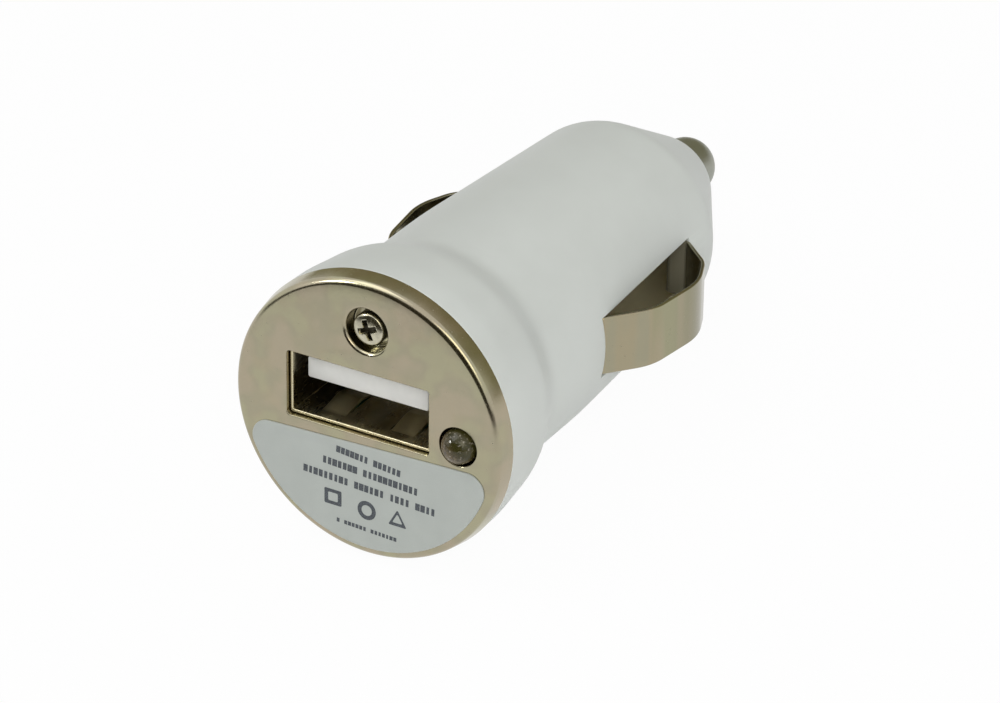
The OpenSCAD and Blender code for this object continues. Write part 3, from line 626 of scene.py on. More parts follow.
def solder_mask(mask, laminate):
    """Green mask with traces under it on the faces, bare laminate on the cut edges."""
    made = Finish("circuit board", IOR=1.5)
    facing = made.parts(made.node("ShaderNodeNewGeometry", out="Normal")).also("Z")
    face = made.spread(made.unsigned(facing), 0.6, 0.8)
    cells = made.node(
        "ShaderNodeTexVoronoi",
        {"Vector": made.stretched_place(stretch=(1, 0.55, 0.001)), "Scale": 1 / (1.3 * MM)},
        distance="CHEBYCHEV",
        feature="F1",
    )
    trace = made.spread(cells, 0.34, 0.37)
    green = made.blend(trace, shaded(mask, 1.5), mask)
    grain = made.noise(0.3 * MM, detail=3.0)
    edge = made.blend(made.spread(grain, 0.35, 0.65), shaded(laminate, 0.7), laminate)
    return made.wear(
        Base_Color=made.blend(face, edge, green),
        Roughness=made.spread(grain, 0.3, 0.7, 0.28, 0.42) + (1 - face) * 0.3,
        Normal=made.relief(trace * 0.8 + grain * 0.2, 0.02 * MM),
    )


def capacitor_skin(sleeve):
    """Shrunk sleeve with a pale stripe down one side, bare aluminium at the crimped end."""
    made = Finish("capacitor sleeve", IOR=1.5)
    rubber_y, stripe_x, stripe_half, blur = 22.9 * MM, 2.8 * MM, 0.6 * MM, 0.05 * MM
    parts = made.parts()
    rubber_end = made.spread(parts.also("Y"), rubber_y, rubber_y + blur)
    stripe = made.spread(made.unsigned(made.unsigned(parts) - stripe_x), stripe_half, stripe_half + blur)
    cloud = made.noise(0.8 * MM, detail=2.0)
    skin = made.blend(made.spread(cloud, 0.3, 0.7), shaded(sleeve, 0.9), shaded(sleeve, 1.15))
    skin = made.blend(stripe, (0.55, 0.56, 0.58), skin)
    return made.wear(
        Base_Color=made.blend(rubber_end, skin, (0.05, 0.05, 0.055)),
        Roughness=made.spread(cloud, 0.3, 0.7, 0.25, 0.4),
    )


def moulded_black(name, rgb, rough):
    """Epoxy or ferrite: near black with a fine grit."""
    made = Finish(name, IOR=1.5)
    grit = made.noise(0.12 * MM, detail=3.0)
    cloud = made.noise(1.2 * MM, detail=2.0)
    return made.wear(
        Base_Color=made.blend(made.spread(cloud, 0.35, 0.65), shaded(rgb, 0.8), shaded(rgb, 1.25)),
        Roughness=made.spread(grit, 0.3, 0.7, rough * 0.85, rough * 1.15),
        Normal=made.relief(grit, 0.006 * MM),
    )


# Outlines


def round_corner(before, at, after, radius, step):
    """Points of a corner between two lines, rounded to a radius."""
    to_before = (before - at).normalized()
    to_after = (after - at).normalized()
    half = to_before.angle(to_after) / 2
    centre = at + (to_before + to_after).normalized() * (radius / math.sin(half))
    start = at + to_before * (radius / math.tan(half)) - centre
    end = at + to_after * (radius / math.tan(half)) - centre
    first = math.atan2(start.y, start.x)
    sweep = (math.atan2(end.y, end.x) - first + 3 * math.pi) % TURN - math.pi
    count = max(2, math.ceil(abs(sweep) / step))
    return [
        centre + radius * Vector((math.cos(first + sweep * i / count), math.sin(first + sweep * i / count)))
        for i in range(count + 1)
    ]


def rounded(points, step=math.radians(6), closed=False):
    """A line through (x, y, rounding), with its ends left as they are unless it is closed."""
    flat = [Vector(p[:2]) for p in points]
    line = []
    for i, (*_, radius) in enumerate(points):
        inner = closed or 0 < i < len(points) - 1
        if radius > 0 and inner:
            line += round_corner(flat[i - 1], flat[i], flat[(i + 1) % len(flat)], radius, step)
        else:
            line.append(flat[i])
    return [p for i, p in enumerate(line) if i == 0 or (p - line[i - 1]).length > 1e-7]


def rectangle(centre, width, height, radius, step=math.radians(10)):
    """A closed rectangle about a centre, with rounded corners."""
    signs = [(1, -1), (1, 1), (-1, 1), (-1, -1)]
    corners = [(centre[0] + sx * width / 2, centre[1] + sy * height / 2, radius) for sx, sy in signs]
    return rounded(corners, step, closed=True)


def circle(centre, radius, count):
    """A closed circle's points."""
    return [
        Vector(centre) + radius * Vector((math.cos(TURN * i / count), math.sin(TURN * i / count)))
        for i in range(count)
    ]


def quarter_turn(steps):
    """Angles from 0 to a quarter of a turn."""
    return [math.pi / 2 * k / steps for k in range(steps + 1)]


# Meshes


def piece_from(name, bm, material, smooth=math.radians(30)):
    """A finished mesh object at the origin, smooth but for its sharp edges."""
    mesh = bpy.data.meshes.new(name)
    for face in bm.faces:
        face.material_index = 0
    bm.to_mesh(mesh)
    bm.free()
    made = bpy.data.objects.new(name, mesh)
    bpy.context.scene.collection.objects.link(made)
    mesh.materials.append(material)
    smooth_mesh(mesh, smooth)
    return made


def smooth_mesh(mesh, angle):
    """Shades a mesh smooth but for edges sharper than an angle."""
    for face in mesh.polygons:
        face.use_smooth = True
    mesh.set_sharp_from_angle(angle=angle)


def as_plain(made):
    """Applies an object's modifiers to its mesh and removes them."""
    bpy.context.view_layer.update()
    result = bpy.data.meshes.new_from_object(made.evaluated_get(bpy.context.evaluated_depsgraph_get()))
    made.modifiers.clear()
    made.data = result


def closed_outward(bm):
    """Merges doubles and turns every face of a closed skin outwards."""
    bmesh.ops.remove_doubles(bm, verts=bm.verts, dist=1e-7)
    bmesh.ops.recalc_face_normals(bm, faces=bm.faces)
    return bm


def turn_outward(made):
    """Merges doubles in a finished object's closed skin and turns its faces outwards."""
    bm = bmesh.new()
    bm.from_mesh(made.data)
    closed_outward(bm).to_mesh(made.data)
    bm.free()


def add_ring(bm, points):
    """New vertices at points."""
    return [bm.verts.new(p) for p in points]


def skin_rings(bm, rings):
    """Quads between closed rings of equally many points."""
    for low, high in zip(rings, rings[1:]):
        count = len(low)
        for i in range(count):
            j = (i + 1) % count
            bm.faces.new((low[i], low[j], high[j], high[i]))


def loft(bm, drawings, capped=False):
    """A skin through drawings given as (points in X and Z, depth)."""
    rings = [add_ring(bm, [(p.x, y, p.y) for p in points]) for points, y in drawings]
    skin_rings(bm, rings)
    if capped:
        bm.faces.new(rings[0])
        bm.faces.new(rings[-1])
    return rings


def fill_between(bm, rings):
    """A flat face bounded by rings, the later ones being holes in it."""
    edges = []
    for ring in rings:
        for i, vert in enumerate(ring):
            other = ring[(i + 1) % len(ring)]
            edges.append(bm.edges.get((vert, other)) or bm.edges.new((vert, other)))
    bmesh.ops.triangle_fill(bm, edges=edges, use_beauty=True)


def flat_shaded_faces(made):
    """Weights the normals by area, so that flat faces shade flat beside rounded rims."""
    weigh = made.modifiers.new("weighted normals", "WEIGHTED_NORMAL")
    weigh.weight = 100
    weigh.keep_sharp = True
    as_plain(made)


def cut(made, cutters):
    """Takes the cutters out of a piece and removes them."""
    for cutter in cutters:
        taken = made.modifiers.new("cut", "BOOLEAN")
        taken.object = cutter
        taken.operation = "DIFFERENCE"
        taken.solver = "EXACT"
    as_plain(made)
    for cutter in cutters:
        bpy.data.objects.remove(cutter)


def bevelled(made, width, angle=math.radians(40)):
    """Rounds the sharp edges of a piece and keeps its flat faces flat."""
    bevel = made.modifiers.new("edges", "BEVEL")
    bevel.width = width
    bevel.segments = 2
    bevel.limit_method = "ANGLE"
    bevel.angle_limit = angle
    bevel.use_clamp_overlap = True
    bevel.harden_normals = True
    as_plain(made)
    return made


def block(name, low, high, material=None, turn=None):
    """A box between two corners, turned about the Y axis through its own origin if asked."""
    bm = bmesh.new()
    bmesh.ops.create_cube(bm, size=1)
    spot = Matrix.Translation((Vector(low) + Vector(high)) / 2)
    stretch = Matrix.Diagonal((*(Vector(high) - Vector(low)), 1))
    bmesh.ops.transform(bm, matrix=spot @ stretch, verts=bm.verts)
    if turn is not None:
        bmesh.ops.transform(bm, matrix=turn, verts=bm.verts)
    mesh = bpy.data.meshes.new(name)
    bm.to_mesh(mesh)
    bm.free()
    made = bpy.data.objects.new(name, mesh)
    bpy.context.scene.collection.objects.link(made)
    if material is not None:
        mesh.materials.append(material)
    return made


def side_block(name, side, across, along, upward, material=None):
    """A box at one side of the axis, from its distances from the axis and its ranges along it and upwards."""
    near, far = sorted(side * distance for distance in across)
    return block(name, (near, along[0], upward[0]), (far, along[1], upward[1]), material)


def joined(name, parts):
    """Several plain mesh objects as one."""
    bm = bmesh.new()
    for part in parts:
        bm.from_mesh(part.data)
    made = piece_from(name, bm, parts[0].data.materials[0])
    for part in parts:
        bpy.data.objects.remove(part)
    return made


def strip(bm, line, section, place):
    """A strip whose section, as (across, along the line's normal), follows a line; place puts it in space."""
    rings = []
    for i, point in enumerate(line):
        ahead = line[min(i + 1, len(line) - 1)] - line[max(i - 1, 0)]
        ahead.normalize()
        normal = Vector((-ahead.y, ahead.x))
        rings.append(add_ring(bm, [place(point + normal * across[1], across[0]) for across in section]))
    skin_rings(bm, rings)
    bm.faces.new(rings[0])
    bm.faces.new(rings[-1])


def merged_copy(node, name, material, edge, angle=math.radians(40)):
    """A CAD node's solid as one merged mesh with its edges lightly broken."""
    bm = bmesh.new()
    bm.from_mesh(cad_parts[node].data)
    bmesh.ops.remove_doubles(bm, verts=bm.verts, dist=1e-6)
    bmesh.ops.dissolve_limit(bm, angle_limit=math.radians(0.5), verts=bm.verts, edges=bm.edges)
    made = piece_from(name, bm, material)
    bevelled(made, edge, angle)
    smooth_mesh(made.data, math.radians(35))
    return made


# Geometry trees


class GeometryTree(Graph):
    """A geometry tree with named inputs that ends in Realize Instances and Set Material."""

    def __init__(self, name, **inputs):
        super().__init__(bpy.data.node_groups.new(name, "GeometryNodeTree"))
        sockets = {"Base": "NodeSocketGeometry", **inputs, "Material": "NodeSocketMaterial"}
        self.identifiers = {
            label: self.tree.interface.new_socket(label, in_out="INPUT", socket_type=kind).identifier
            for label, kind in sockets.items()
        }
        self.tree.interface.new_socket("Geometry", in_out="OUTPUT", socket_type="NodeSocketGeometry")
        self.given = self.node("NodeGroupInput")

    def end(self, geometry):
        """Closes the tree with its last nodes."""
        realized = self.node("GeometryNodeRealizeInstances", {"Geometry": geometry})
        coloured = self.node(
            "GeometryNodeSetMaterial", {"Geometry": realized, "Material": self.given.also("Material")}
        )
        output = self.tree.nodes.new("NodeGroupOutput")
        self.tree.links.new(coloured.socket, output.inputs[0])
        return self

    def grow(self, name, base, material, **values):
        """A plain mesh object made by the tree from a base mesh and the values of its inputs."""
        made = bpy.data.objects.new(name, base)
        bpy.context.scene.collection.objects.link(made)
        modifier = made.modifiers.new("geometry", "NODES")
        modifier.node_group = self.tree
        for label, value in {**values, "Material": material}.items():
            modifier[self.identifiers[label]] = value
        as_plain(made)
        made.data.name = name
        made.data.materials.clear()
        made.data.materials.append(material)
        for face in made.data.polygons:
            face.material_index = 0
        return made


def line_mesh(points):
    """A mesh of points joined in order, as the base of a geometry tree."""
    mesh = bpy.data.meshes.new("line")
    corners = [(p[0], p[1], p[2] if len(p) > 2 else 0) for p in points]
    mesh.from_pydata(corners, [(i, i + 1) for i in range(len(points) - 1)], [])
    return mesh


def turning_tree():
    """Turns an outline, whose points hold the radius in x and the station in y, about the Y axis."""
    made = GeometryTree("turned piece", Segments="NodeSocketInt")
    outline = made.given.also("Base")
    segments = made.given.also("Segments")
    rows = made.node("GeometryNodeAttributeDomainSize", {"Geometry": outline}, component="MESH")
    grid = made.node("GeometryNodeMeshGrid", {"Vertices X": rows, "Vertices Y": segments + 1})
    index = made.node("GeometryNodeInputIndex")
    row = made.maths("FLOOR", (index + 0.5) / (segments + 1))
    column = index - row * (segments + 1)
    sampled = made.node(
        "GeometryNodeSampleIndex",
        {"Geometry": outline, "Value": made.node("GeometryNodeInputPosition"), "Index": row},
        data_type="FLOAT_VECTOR",
        domain="POINT",
    )
    parts = made.node("ShaderNodeSeparateXYZ", {"Vector": sampled})
    angle = column * TURN / segments
    around = made.node(
        "ShaderNodeCombineXYZ",
        {
            "X": parts * made.maths("COSINE", angle),
            "Y": parts.also("Y"),
            "Z": parts * made.maths("SINE", angle),
        },
    )
    turned = made.node("GeometryNodeSetPosition", {"Geometry": grid, "Position": around})
    return made.end(made.node("GeometryNodeMergeByDistance", {"Geometry": turned, "Distance": 1e-7}))


def helix_tree():
    """Winds round wire on a helix along Y whose end turns lie close."""
    made = GeometryTree(
        "wound wire", Radius="NodeSocketFloat", Wire="NodeSocketFloat", Turns="NodeSocketInt",
        Length="NodeSocketFloat", Steps="NodeSocketInt",
    )
    radius, wire, turns, reach, steps = (
        made.given.also(label) for label in ("Radius", "Wire", "Turns", "Length", "Steps")
    )
    line = made.node("GeometryNodeMeshLine", {"Count": turns * steps + 1})
    turn = made.node("GeometryNodeInputIndex") / steps
    close = wire * 1.12
    free = (reach - wire - 2 * close) / (turns - 2)
    open_turns = made.maths("MINIMUM", made.maths("MAXIMUM", turn - 1, 0), turns - 2)
    along = (turn - open_turns) * close + open_turns * free + wire / 2
    spot = made.node(
        "ShaderNodeCombineXYZ",
        {
            "X": radius * made.maths("COSINE", turn * TURN),
            "Y": along,
            "Z": radius * made.maths("SINE", turn * TURN),
        },
    )
    base = made.node("GeometryNodeBoundBox", {"Geometry": made.given.also("Base")}, out="Min")
    placed = made.node("ShaderNodeVectorMath", {0: spot, 1: base}, operation="ADD")
    helix = made.node("GeometryNodeSetPosition", {"Geometry": line, "Position": placed})
    curve = made.node("GeometryNodeMeshToCurve", {"Mesh": helix})
    section = made.node("GeometryNodeCurvePrimitiveCircle", {"Resolution": 12, "Radius": wire / 2})
    skin = {"Curve": curve, "Profile Curve": section, "Fill Caps": True}
    return made.end(made.node("GeometryNodeCurveToMesh", skin))


def row_tree():
    """Copies the base to every point of another object's mesh."""
    made = GeometryTree("repeated piece", Spots="NodeSocketObject")
    spots = made.node("GeometryNodeObjectInfo", {"Object": made.given.also("Spots")}, out="Geometry")
    copies = made.node("GeometryNodeInstanceOnPoints", {"Points": spots, "Instance": made.given.also("Base")})
    return made.end(copies)


def dash_tree():
    """Breaks a row into dashes of random length with even gaps: a line of print that says nothing."""
    made = GeometryTree(
        "dashes", Length="NodeSocketFloat", Height="NodeSocketFloat", Depth="NodeSocketFloat",
        Count="NodeSocketInt", Seed="NodeSocketInt",
    )
    reach, height, depth, count, seed = (
        made.given.also(label) for label in ("Length", "Height", "Depth", "Count", "Seed")
    )
    pitch = reach / count
    origin = made.node("GeometryNodeBoundBox", {"Geometry": made.given.also("Base")}, out="Min")
    row = made.node(
        "GeometryNodeMeshLine",
        {
            "Count": count,
            "Start Location": origin,
            "Offset": made.node("ShaderNodeCombineXYZ", {"X": pitch}),
        },
    )
    share = made.node(
        "FunctionNodeRandomValue", {2: 0.5, 3: 0.95, "Seed": seed}, out=1, data_type="FLOAT"
    )
    size = made.node("ShaderNodeCombineXYZ", {"X": pitch * share, "Y": depth, "Z": height})
    bar = made.node("GeometryNodeMeshCube", {"Size": (1, 1, 1)})
    kept = made.node(
        "FunctionNodeRandomValue", {"Probability": 0.86, "Seed": seed + 1}, out=3, data_type="BOOLEAN"
    )
    copies = made.node(
        "GeometryNodeInstanceOnPoints", {"Points": row, "Selection": kept, "Instance": bar, "Scale": size}
    )
    return made.end(copies)


def turn_outline(name, outline, material, segments, centre=(0, 0)):
    """A closed piece turned from (station, radius, rounding), about an axis along Y through centre."""
    line = rounded(outline, step=math.radians(5))
    made = turning_tree().grow(name, line_mesh([(p.y, p.x) for p in line]), material, Segments=segments)
    turn_outward(made)
    made.data.transform(Matrix.Translation((centre[0], 0, centre[1])))
    smooth_mesh(made.data, math.radians(30))
    return made


def copied_at(spots, name, base, material):
    """One piece that holds a copy of a base mesh at every spot."""
    points = bpy.data.objects.new("spots", line_mesh(spots))
    bpy.context.scene.collection.objects.link(points)
    made = row_tree().grow(name, base, material, Spots=points)
    bpy.data.objects.remove(points)
    return made


def ride(made, body, slot, *nodes):
    """Puts a finished piece on its body, in the place of the nodes it stands for."""
    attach(made, body)
    if nodes:
        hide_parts(*nodes)
    return made


def paint(node, material):
    """A CAD node keeps its shape and takes a finish."""
    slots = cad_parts[node].data.materials
    slots.clear()
    slots.append(material)


# Pieces


class PLUG_OT_housing(bpy.types.Operator):
    """Housing: head, barrel and nose turned as one shell, with a slot at each side, a boss and two rails"""

    bl_idname = "plug.housing"
    bl_label = "Housing"

    def execute(self, context):
        size = context.scene.plug_housing
        outline = [
            (size.back, size.head_mid_r - size.head_wall, 0),
            (size.back, size.head_r, 0.12 * MM),
            (size.head_mid_y, size.head_mid_r, 8 * MM),
            (size.head_y, size.head_end_r, 6 * MM),
            (size.land_y, size.barrel_r, 5 * MM),
            (size.taper_y, size.barrel_r, 60 * MM),
            (size.shoulder_y, size.shoulder_r, 4 * MM),
            (size.nose_y, size.nose_r, 1.5 * MM),
            (size.nose_y, size.bore_r, 0.15 * MM),
            (size.seat_y, size.bore_r, 0),
            (size.seat_y, size.well_r, 0),
            (size.well_y, size.well_r, 0),
            (size.shoulder_y - 0.77 * MM, size.shoulder_r - size.wall + 0.04 * MM, 0.6 * MM),
            (size.taper_y, size.barrel_r - size.wall, 0),
            (size.land_y - 0.6 * MM, size.barrel_r - size.wall, 0.8 * MM),
            (size.head_y + 0.5 * MM, size.head_mid_r - size.head_wall, 0.8 * MM),
            (size.back, size.head_mid_r - size.head_wall, 0),
        ]
        finish = moulded_plastic(size.white, size.inside)
        shell = turn_outline("housing_shell", outline, finish, segments=256)
        across = (size.barrel_r / 2, size.barrel_r * 2)
        along = (size.slot_y, size.slot_end)
        upward = (-size.slot_w / 2, size.slot_w / 2)
        cut(shell, [side_block("slot", side, across, along, upward) for side in (-1, 1)])
        bevelled(shell, size.edge, angle=math.radians(50))
        smooth_mesh(shell.data, math.radians(40))
        ride(shell, "plug", "white_plastic", "housing")
        self.add_inner_forms(finish)
        return {"FINISHED"}

    def add_inner_forms(self, finish):
        """The screw's boss and the board's rails, which stand inside the shell."""
        start, end, radius, bore_r = 2.2 * MM, 9.2 * MM, 2 * MM, 1.02 * MM
        outline = [
            (start, bore_r, 0), (start, radius, 0.15 * MM), (end, radius, 0.3 * MM), (end, bore_r, 0),
            (start, bore_r, 0),
        ]
        boss = turn_outline("screw_boss", outline, finish, segments=64, centre=(0, SCREW_Z))
        ride(boss, "plug", "white_plastic")
        across = (8 * MM, 8.85 * MM)
        along = (10.5 * MM, 15.8 * MM)
        levels = {"lower": (-3.74 * MM, -2.74 * MM), "upper": (-1.34 * MM, -0.34 * MM)}
        for side_name, side in (("left", -1), ("right", 1)):
            for level, upward in levels.items():
                rail = side_block(f"board_rail_{side_name}_{level}", side, across, along, upward, finish)
                bevelled(rail, 0.1 * MM)
                ride(rail, "plug", "white_plastic")


class PLUG_OT_face_plate(bpy.types.Operator):
    """Face plate: a thick plated disc with a rounded edge and rolled rims round its openings"""

    bl_idname = "plug.face_plate"
    bl_label = "Face plate"

    def execute(self, context):
        size = context.scene.plug_plate
        bm = bmesh.new()
        edge = rounded(
            [(0, size.front_r - 2 * size.rounding, 0), (0, size.front_r, size.rounding),
             (size.thickness, size.back_r, 0.05 * MM), (size.thickness, size.back_r - 0.4 * MM, 0)],
            step=math.radians(8),
        )
        outer = loft(bm, [(circle((0, 0), p.y, 256), p.x) for p in edge])
        gap = 0.05 * MM
        centre = (SHELL_X, SHELL_HIGH.z - size.opening_h / 2 + gap)
        opening = self.wall(bm, size, lambda out: rectangle(
            centre, size.opening_w + 2 * out, size.opening_h + 2 * out, size.opening_corner + out))
        lamp = self.wall(bm, size, lambda out: circle((LENS_X, LENS_Z), size.lamp_hole_r + out, 64))
        recess_line = rounded(
            [(0, size.recess_r + size.recess_rim, 0), (0, size.recess_r, size.recess_rim),
             (size.recess_y, size.recess_r, 0.12 * MM), (size.recess_y, size.hole_r, 0.05 * MM),
             (size.dimple_y, size.hole_r, 0), (size.dimple_y, size.dimple_r, 0.3 * MM),
             (size.thickness, size.dimple_r, 0)],
            step=math.radians(10),
        )
        recess = loft(bm, [(circle((0, SCREW_Z), p.y, 64), p.x) for p in recess_line])
        fill_between(bm, [outer[0], opening[0], lamp[0], recess[0]])
        fill_between(bm, [outer[-1], opening[-1], lamp[-1], recess[-1]])
        made = piece_from(
            "face_plate_metal", closed_outward(bm),
            nickel_plating(
                # holes gives the painted shade on the walls of the plate's openings
                "face nickel", size.nickel, 0.2, brushed=(1, 0.15, 1), holes=(0.2 * MM, 0.6 * MM, 11.9 * MM),
                tints=0.5,
            ),
            smooth=math.radians(50),
        )
        flat_shaded_faces(made)
        ride(made, "plug", "nickel_plate", "face_plate")
        return {"FINISHED"}

    def wall(self, bm, size, drawing):
        """The wall of an opening, with its front and back rims rounded."""
        front, back = size.rim, size.rim * 0.6
        line = rounded(
            [(0, front, 0), (0, 0, front), (size.thickness, 0, back), (size.thickness, back, 0)],
            step=math.radians(18),
        )
        return loft(bm, [(drawing(p.y), p.x) for p in line])


class PLUG_OT_label(bpy.types.Operator):
    """Label: a thin sticker cut off straight at its top, with plain printed marks that say nothing"""

    bl_idname = "plug.label"
    bl_label = "Label"

    def execute(self, context):
        size = context.scene.plug_label
        bm = bmesh.new()
        outer = self.outline(size)
        inset = self.outline(size, size.edge)
        mid = self.outline(size, size.edge * 0.3)
        front = LABEL_FRONT + size.ink_depth * 0.5
        rings = [(inset, front), (mid, front + size.edge * 0.3), (outer, front + size.edge), (outer, 0)]
        loft(bm, rings, capped=True)
        paper = label_paper(size.paper)
        sticker = piece_from("label_film", closed_outward(bm), paper, smooth=math.radians(50))
        flat_shaded_faces(sticker)
        ride(sticker, "plug", "label_paper", "rating_label")
        self.print_marks(size)
        return {"FINISHED"}

    def outline(self, size, inset=0.0):
        """The label's outline, drawn level and then turned."""
        corner = size.corner - inset
        z = -size.drop - size.corner
        x = math.sqrt((size.radius - size.corner) ** 2 - z * z)
        side = math.atan2(z, x)
        points = []
        for centre, radius, start, sweep in (
            ((x, z), corner, math.pi / 2, side - math.pi / 2),
            ((0, 0), size.radius - inset, side, -math.pi - 2 * side),
            ((-x, z), corner, -math.pi - side, side - math.pi / 2),
        ):
            count = max(6, math.ceil(abs(sweep) / math.radians(2.5)))
            arc = [start + sweep * i / count for i in range(count + 1)]
            points += [Vector(centre) + radius * Vector((math.cos(a), math.sin(a))) for a in arc]
        turn = Matrix.Rotation(-size.turn, 2)
        points = [turn @ p for p in points]
        return [p for i, p in enumerate(points) if (p - points[i - 1]).length > 1e-7]

    def print_marks(self, size):
        """Four rows of dashes and three plain shapes, in the places where such a label has its print.

        A row has its start and end in millimetres, its height, its number of dashes and its seed.
        """
        ink = printed_ink(size.ink)
        rows = (
            ((-2.7, -3.2), (3.3, -3.8), 0.6, 14, 3),
            ((-4.0, -4.5), (4.9, -5.0), 0.64, 19, 8),
            ((-5.8, -5.8), (6.5, -6.4), 0.64, 26, 12),
            ((-2.7, -9.7), (3.3, -9.95), 0.36, 17, 5),
        )
        tree = dash_tree()
        parts = []
        for start, end, height, count, seed in rows:
            across = (Vector(end) - Vector(start)) * MM
            row = tree.grow(
                "row", line_mesh([(0, 0), (0, 0)]), ink, Length=across.length,
                Height=height * MM, Depth=size.ink_depth, Count=count, Seed=seed,
            )
            turn = Matrix.Rotation(-math.atan2(across.y, across.x), 4, "Y")
            spot = Matrix.Translation((start[0] * MM, LABEL_FRONT + size.ink_depth / 2, start[1] * MM))
            row.data.transform(spot @ turn @ Matrix.Translation((across.length / count / 2, 0, 0)))
            parts.append(row)
        parts += self.shapes(size, ink)
        made = joined("label_print", parts)
        smooth_mesh(made.data, math.radians(30))
        ride(made, "plug", "label_paper")

    def shapes(self, size, ink):
        """An open square, a ring and an open triangle."""
        outside, inside = 1.0 * MM, 0.56 * MM
        corners = ((-0.85, -0.65), (0.85, -0.65), (0, 0.85))
        drawings = {
            "square": lambda r: rectangle((-3.0 * MM, -7.75 * MM), 1.6 * r, 1.4 * r, 0.12 * MM),
            "ring": lambda r: circle((0.15 * MM, -8.05 * MM), 0.85 * r, 48),
            "triangle": lambda r: rounded(
                [(3.0 * MM + dx * r, -8.0 * MM + dz * r, 0.08 * MM) for dx, dz in corners], closed=True
            ),
        }
        front, back = LABEL_FRONT, LABEL_FRONT + size.ink_depth
        made = []
        for name, drawing in drawings.items():
            bm = bmesh.new()
            outer = loft(bm, [(drawing(outside), front), (drawing(outside), back)])
            inner = loft(bm, [(drawing(inside), front), (drawing(inside), back)])
            fill_between(bm, [outer[0], inner[0]])
            fill_between(bm, [outer[1], inner[1]])
            made.append(piece_from(name, closed_outward(bm), ink))
        return made


class PLUG_OT_face_screw(bpy.types.Operator):
    """Face screw: a crowned head with a cross and a threaded shank"""

    bl_idname = "plug.face_screw"
    bl_label = "Face screw"

    def execute(self, context):
        size = context.scene.plug_screw
        rim_y = size.head_y + size.crown
        cone_y = size.end - 1 * MM
        core_r = size.shank_r - size.thread
        crown = [
            (rim_y - size.crown * math.cos(turn), size.head_r * 0.96 * math.sin(turn), 0)
            for turn in quarter_turn(8)
        ]
        thread = []
        count = int((cone_y - size.seat_y) / size.pitch)
        for k in range(count):
            y = size.seat_y + (k + 0.35) * size.pitch
            thread += [
                (y, core_r, 0),
                (y + 0.42 * size.pitch, size.shank_r, 0.03 * MM),
                (y + 0.58 * size.pitch, size.shank_r, 0.03 * MM),
            ]
        outline = [
            *crown,
            (rim_y + 0.08 * MM, size.head_r, 0),
            (size.seat_y, size.head_r, 0.06 * MM),
            (size.seat_y, core_r, 0),
            *thread,
            (cone_y, core_r, 0),
            (size.end, 0.0, 0),
        ]
        finish = screw_steel(size.steel, 0.22, rim_y + 0.06 * MM, size.head_r)
        made = turn_outline("face_screw_turned", outline, finish, segments=96, centre=(0, SCREW_Z))
        cutters = []
        for turn in (size.cross_turn, size.cross_turn + math.pi / 2):
            about = Matrix.Translation((0, 0, SCREW_Z)) @ Matrix.Rotation(turn, 4, "Y")
            cutters.append(block(
                "cross", (-size.cross_span / 2, 0, -size.cross_w / 2),
                (size.cross_span / 2, size.head_y + size.cross_depth, size.cross_w / 2), turn=about,
            ))
        cut(made, cutters)
        bevelled(made, 0.05 * MM, angle=math.radians(50))
        smooth_mesh(made.data, math.radians(35))
        ride(made, "plug", "screw_steel", "face_screw")
        return {"FINISHED"}


